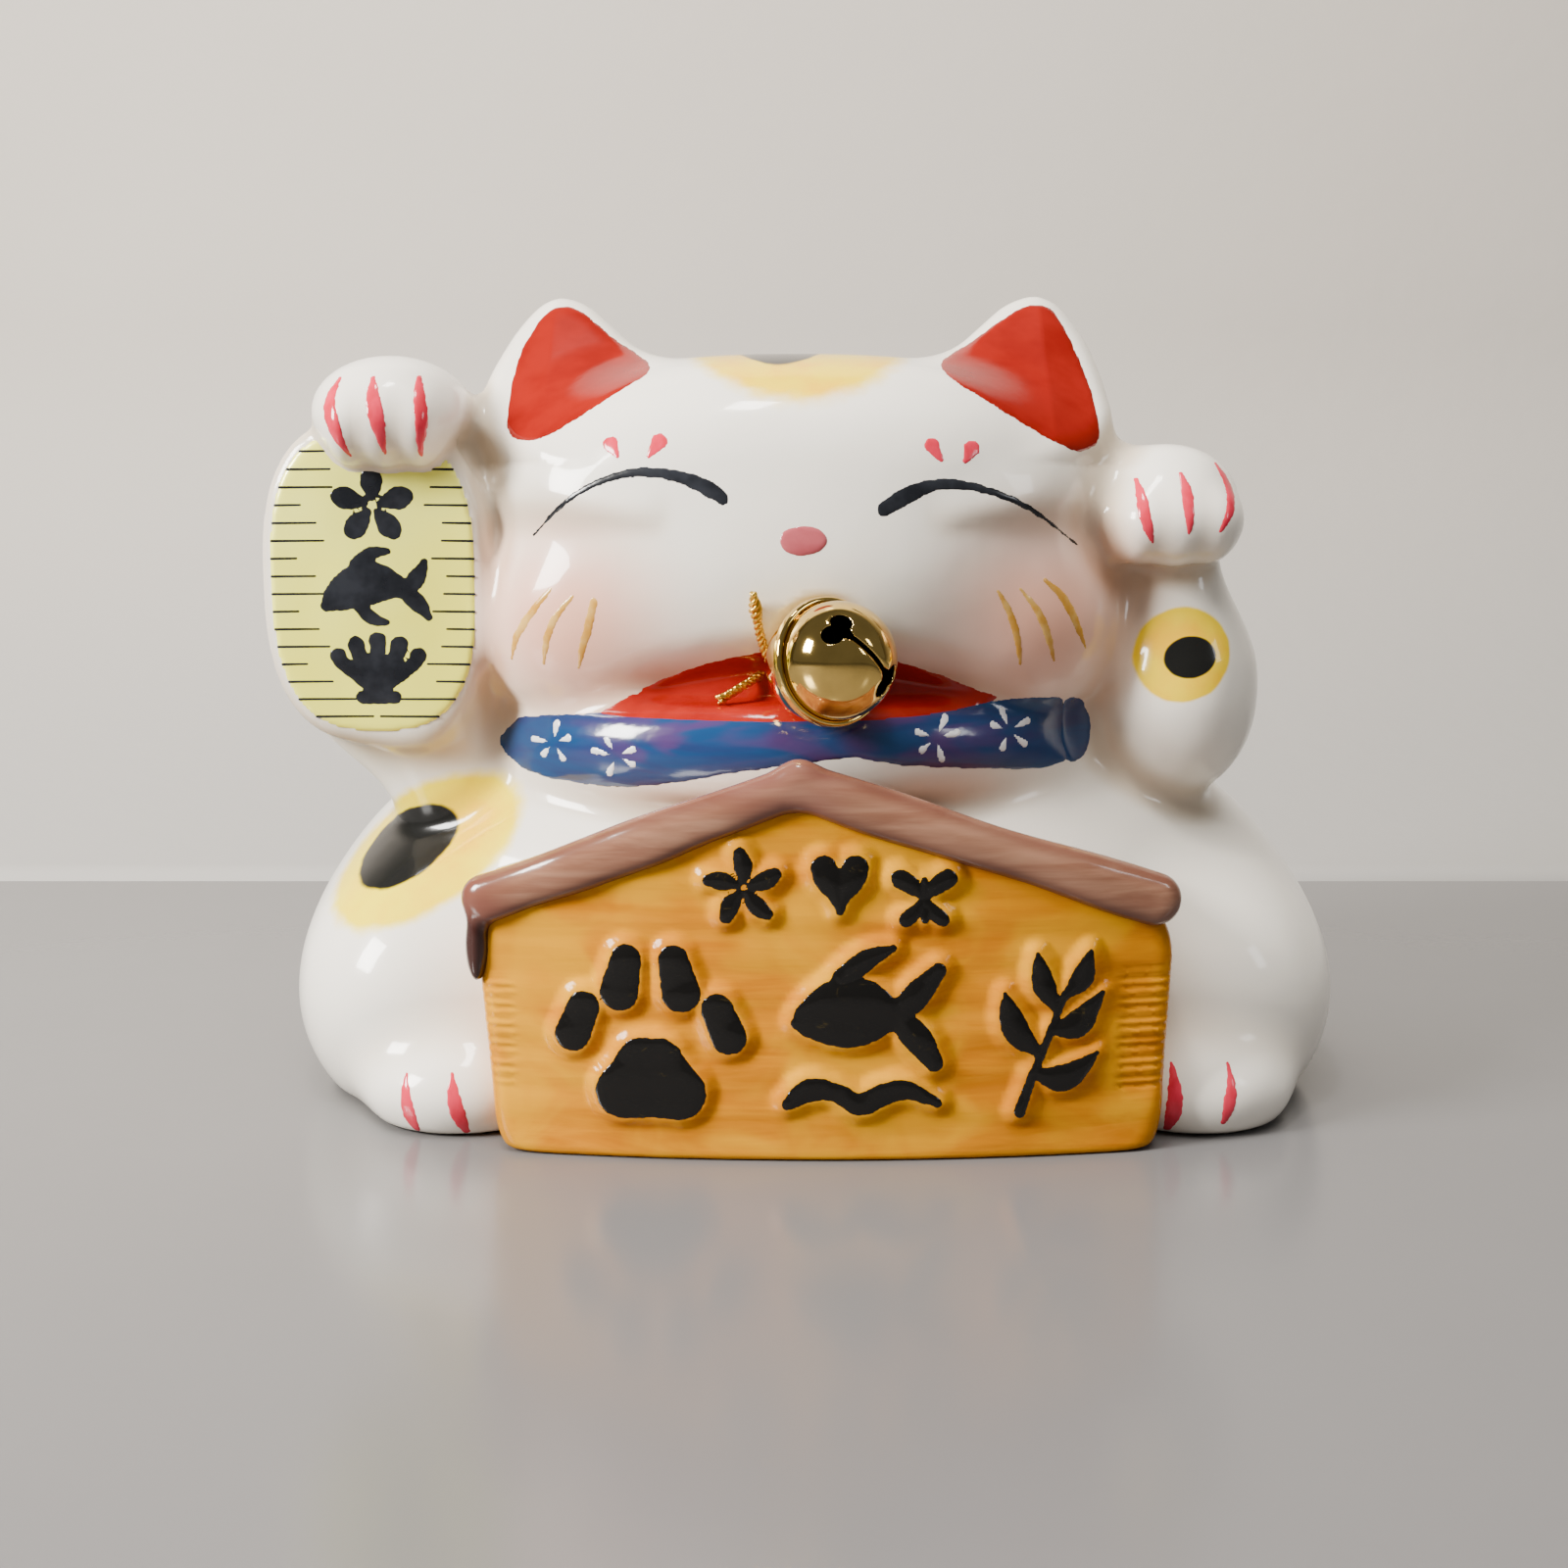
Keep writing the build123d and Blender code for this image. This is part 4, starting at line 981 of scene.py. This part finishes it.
def lathe(profile, steps=128):
    """A turned closed surface of (radius, height) rows about the local Z."""
    rows = np.array(profile, float)
    a = np.arange(steps) * 2 * math.pi / steps
    points = np.stack([rows[:, None, 0] * np.cos(a), rows[:, None, 0] * np.sin(a),
                       np.broadcast_to(rows[:, None, 1], (len(rows), steps))], -1).reshape(-1, 3)
    return points, ring_quads(len(rows), steps, True)


def arc(centre, radius, start, end, count):
    turns = [math.radians(start + (end - start) * t / (count - 1)) for t in range(count)]
    return [(centre[0] + radius * math.cos(t), centre[1] + radius * math.sin(t)) for t in turns]


points, quads, inside = bell_front()
# inside points are marked so that the gold paint turns them near black, as painted shade
dome_piece = make_object("bell_dome", bell_place(points), quads, GOLD, attributes={"inside": inside})
piece(dome_piece, "bell", "gold_plate", "bell_front")
# the rear half's section: its rolled rim, its outside up to the pole, then its inside back
profile = [(BELL_R - SHEET, 0), (BELL_R + 0.05, 0.55)]
profile += arc((7.62, 0.25), 0.42, 130, -20, 9) + arc((7.66, -0.3), 0.45, 10, -110, 9)
profile += [(BELL_R, -1)] + arc((0, -BELL_HALF), BELL_R, 0, -85, 30)
outer_rows = len(profile)
profile += arc((0, -BELL_HALF), BELL_R - SHEET, -84.6, 0, 24)
points, quads = lathe(profile)
inside = np.arange(len(points)) >= outer_rows * (len(points) // len(profile))
rear_piece = make_object("bell_rear", bell_place(points), quads, GOLD, attributes={"inside": inside})
piece(rear_piece, "bell", "gold_plate", "bell_back")


def tube(line, radius, sides, closed=False):
    """A round tube along a line, and the frames carried along it; radius may differ at each point."""
    line = np.asarray(line, float)
    n = len(line)
    radius = np.broadcast_to(radius, (n,))
    if closed:
        tangent = np.roll(line, -1, 0) - np.roll(line, 1, 0)
    else:
        tangent = np.gradient(line, axis=0)
    tangent = unit(tangent)
    side = unit(np.cross(tangent[0], [0.31, 0.22, 0.93]))
    first = []
    for t in tangent:
        side = unit(side - t * (side @ t))
        first.append(side)
    first = np.array(first)
    second = np.cross(tangent, first)
    a = np.arange(sides) * 2 * math.pi / sides
    ring = first[:, None] * np.cos(a)[None, :, None] + second[:, None] * np.sin(a)[None, :, None]
    points = (line[:, None] + ring * radius[:, None, None]).reshape(-1, 3)
    faces = [ring_quads(n, sides, closed)]
    if not closed:
        centre = len(points)
        points = np.vstack([points, line[0], line[-1]])
        j = np.arange(sides)
        m = (j + 1) % sides
        last = (n - 1) * sides
        faces.append(np.concatenate([np.stack([m, j, np.full(sides, centre)], 1),
                                     np.stack([last + j, last + m, np.full(sides, centre + 1)], 1)]))
    return points, faces, (first, second)


def joined(parts):
    """Several (points, faces) meshes as one."""
    all_points, by_size, base = [], {}, 0
    for points, faces in parts:
        for f in faces:
            by_size.setdefault(f.shape[1], []).append(f + base)
        all_points.append(points)
        base += len(points)
    return np.concatenate(all_points), [np.concatenate(f) for f in by_size.values()]


EYE_R, EYE_WIRE, EYE_GAP, SHANK_R, SHANK_NECK_R = 1.35, 0.4, 0.3, 0.5, 0.56
back_pole = BELL_HALF + BELL_R
eye_distance = back_pole + EYE_GAP + EYE_R + EYE_WIRE
RING_STEPS = 48
a = np.arange(RING_STEPS) * 2 * math.pi / RING_STEPS
ring = np.stack([0 * a, EYE_R * np.cos(a), EYE_R * np.sin(a) - eye_distance], -1)
shank = [(0, 0, up - back_pole) for up in (0.1 - EYE_GAP - EYE_WIRE, -0.05, 0.5, 1)]
# the small riveted plate inside the bell that holds the shank
plate = lathe([(r, up - back_pole) for r, up in
               ((0.05, 0.95), (1.1, 0.95), (1.3, 1.1), (1.3, 1.4), (1.1, 1.55), (0.05, 1.55))], 32)
loop_points, loop_faces = joined([
    tube(ring, EYE_WIRE, 14, True)[:2], tube(shank, [SHANK_NECK_R, SHANK_R, SHANK_R, SHANK_R], 14)[:2],
    (plate[0], [plate[1]])])
eye_piece = make_object("bell_eye", bell_place(loop_points), loop_faces, GOLD)
piece(eye_piece, "bell_hanger", "gold_plate", "bell_loop")

# ---- cord: three strands twisted together, through the neck and the bell's eye
eye_at = bell_place([[0, 0, -eye_distance]])[0]
heading = math.radians(10)
thread = np.array([math.cos(heading), math.sin(heading), 0])
right_turn, left_turn = eye_at + thread * 2.9, eye_at - thread * 3
HOLE_X, HOLE_Z, INSIDE_Y = -6.4, 58.9, -20.5
ROUTE = [(-12.6, -33.4, 55.4), (HOLE_X, right_turn[1] + 0.6, HOLE_Z), (HOLE_X, INSIDE_Y, HOLE_Z),
         (right_turn[0], INSIDE_Y, HOLE_Z), tuple(right_turn), tuple(left_turn), (-8.1, -38.4, 69.2)]
route = bpy.data.curves.new("cord_route", "CURVE")
route.dimensions = "3D"
spline = route.splines.new("NURBS")
spline.points.add(len(ROUTE) - 1)
for point, place in zip(spline.points, ROUTE):
    point.co = tuple(v * MM for v in place) + (1,)
spline.use_endpoint_u = True
spline.order_u = 3
spline.resolution_u = 24
route_object = bpy.data.objects.new("cord_route", route)
line_mesh = bpy.data.meshes.new_from_object(route_object)
path = np.array([v.co[:] for v in line_mesh.vertices]) / MM
bpy.data.meshes.remove(line_mesh)
bpy.data.objects.remove(route_object)
steps = np.linalg.norm(np.diff(path, axis=0), axis=1)
along = np.concatenate([[0], np.cumsum(steps)])
CORD_SPACING = 0.09
evenly = np.arange(0, along[-1], CORD_SPACING)
path = np.stack([np.interp(evenly, along, path[:, i]) for i in range(3)], -1)
frames = tube(path, 0.1, 6)[2]
STRANDS, STRAND_R, STRAND_AWAY, TWIST, FINE_TWIST, FRAYED, TAIL = 3, 0.29, 0.31, 2.6, 0.42, 4.6, 1.1
end = np.clip((evenly - (along[-1] - FRAYED)) / FRAYED, 0, 1)
tail = np.clip((TAIL - evenly) / TAIL, 0, 1)
away = (STRAND_AWAY + 0.22 * tail + 0.38 * np.sin(math.pi * end) ** 2 - 0.12 * end)[:, None]
strands = []
for start in range(STRANDS):
    turn_by = (evenly * 2 * math.pi / TWIST + start * 2 * math.pi / STRANDS)[:, None]
    strand = path + (frames[0] * np.cos(turn_by) + frames[1] * np.sin(turn_by)) * away
    fine = STRAND_R + 0.04 * np.sin(evenly * 2 * math.pi / FINE_TWIST + start)
    strands.append(tube(strand, fine, 10)[:2])
cord_points, cord_faces = joined(strands)
cord = make_object("cord_twist", cord_points, cord_faces, THREAD)
piece(cord, "cat", "gold_cord", "cord")

# ---- carried-over CAD nodes
for name, material in (("base_stopper", RUBBER), ("bell_pellet", STEEL)):
    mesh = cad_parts[name].data
    mesh.materials.clear()
    mesh.materials.append(material)


# ---- floor, backdrop and lights
HALF_WIDTH = 2600


def plain_surface(name, rows, colours, rough, spec, foot=None):
    """A sheet that runs across X through (y, z) rows; foot is its colour low down, painted shade that darkens
    it towards the bottom.
    """
    points = [(x, y, z) for y, z in rows for x in (-HALF_WIDTH, HALF_WIDTH)]
    quads = np.array([[2 * i, 2 * i + 1, 2 * i + 3, 2 * i + 2] for i in range(len(rows) - 1)])
    paint = Paint(name, rough=rough, spec=spec)
    grain = paint.noise(even(0.02), 3)
    paint.bump(paint.noise(even(0.12), 3), 0.08 if rough < 0.5 else 0.35, 0.0005)
    colour = paint.mix(grain, *colours)
    # darker towards the bottom: painted shade
    if foot:
        colour = paint.mix(paint.ramp(paint.height(), -60, 190), foot, colour)
    obj = make_object(name, points, quads, paint.finish(colour))


FLOOR_END, BEND_DEPTH, BEND_HEIGHT, WALL_TOP = 128, 210, 150, (338, 900)
plain_surface("floor", [(-HALF_WIDTH, 0), (FLOOR_END, 0)],
              ((0.15, 0.145, 0.145), (0.138, 0.133, 0.133)), 0.2, 0.5)
bend = [(FLOOR_END, -0.3), (FLOOR_END, 0)]
for t in [math.radians(degrees) for degrees in range(5, 91, 5)]:
    bend.append((FLOOR_END + BEND_DEPTH * math.sin(t), BEND_HEIGHT * (1 - math.cos(t))))
# the backdrop darkens low down: painted shade
plain_surface("backdrop", bend + [WALL_TOP], ((0.56, 0.515, 0.46), (0.54, 0.495, 0.44)), 0.8, 0.2,
              (0.33, 0.32, 0.305))


def area_light(name, place, aim, size, power, colour):
    data = bpy.data.lights.new(name, "AREA")
    data.shape, data.size, data.size_y = "RECTANGLE", size[0] * MM, size[1] * MM
    data.energy, data.color = power, colour
    obj = bpy.data.objects.new(name, data)
    obj.location = Vector(place) * MM
    obj.rotation_euler = (Vector(aim) - Vector(place)).to_track_quat("-Z", "Y").to_euler()
    bpy.context.scene.collection.objects.link(obj)
    return obj


CHEST = (0, 0, 60)
area_light("window", (-460, -240, 300), CHEST, (150, 190), 8.6, (1, 0.975, 0.935))
area_light("lamp", (-70, -150, 700), CHEST, (70, 110), 1.6, (1, 0.97, 0.93))
area_light("fill", (480, -300, 330), CHEST, (90, 150), 0.35, (0.95, 0.97, 1))
ceiling = area_light("ceiling", (-80, -120, 760), (0, 0, 0), (700, 620), 10.5,
                     (1, 0.965, 0.915))
ceiling.visible_glossy = False
world = bpy.data.worlds.new("world")
world.use_nodes = True
sky = world.node_tree.nodes["Background"].inputs
sky["Color"].default_value, sky["Strength"].default_value = (0.72, 0.71, 0.7, 1), 0.18
bpy.context.scene.world = world
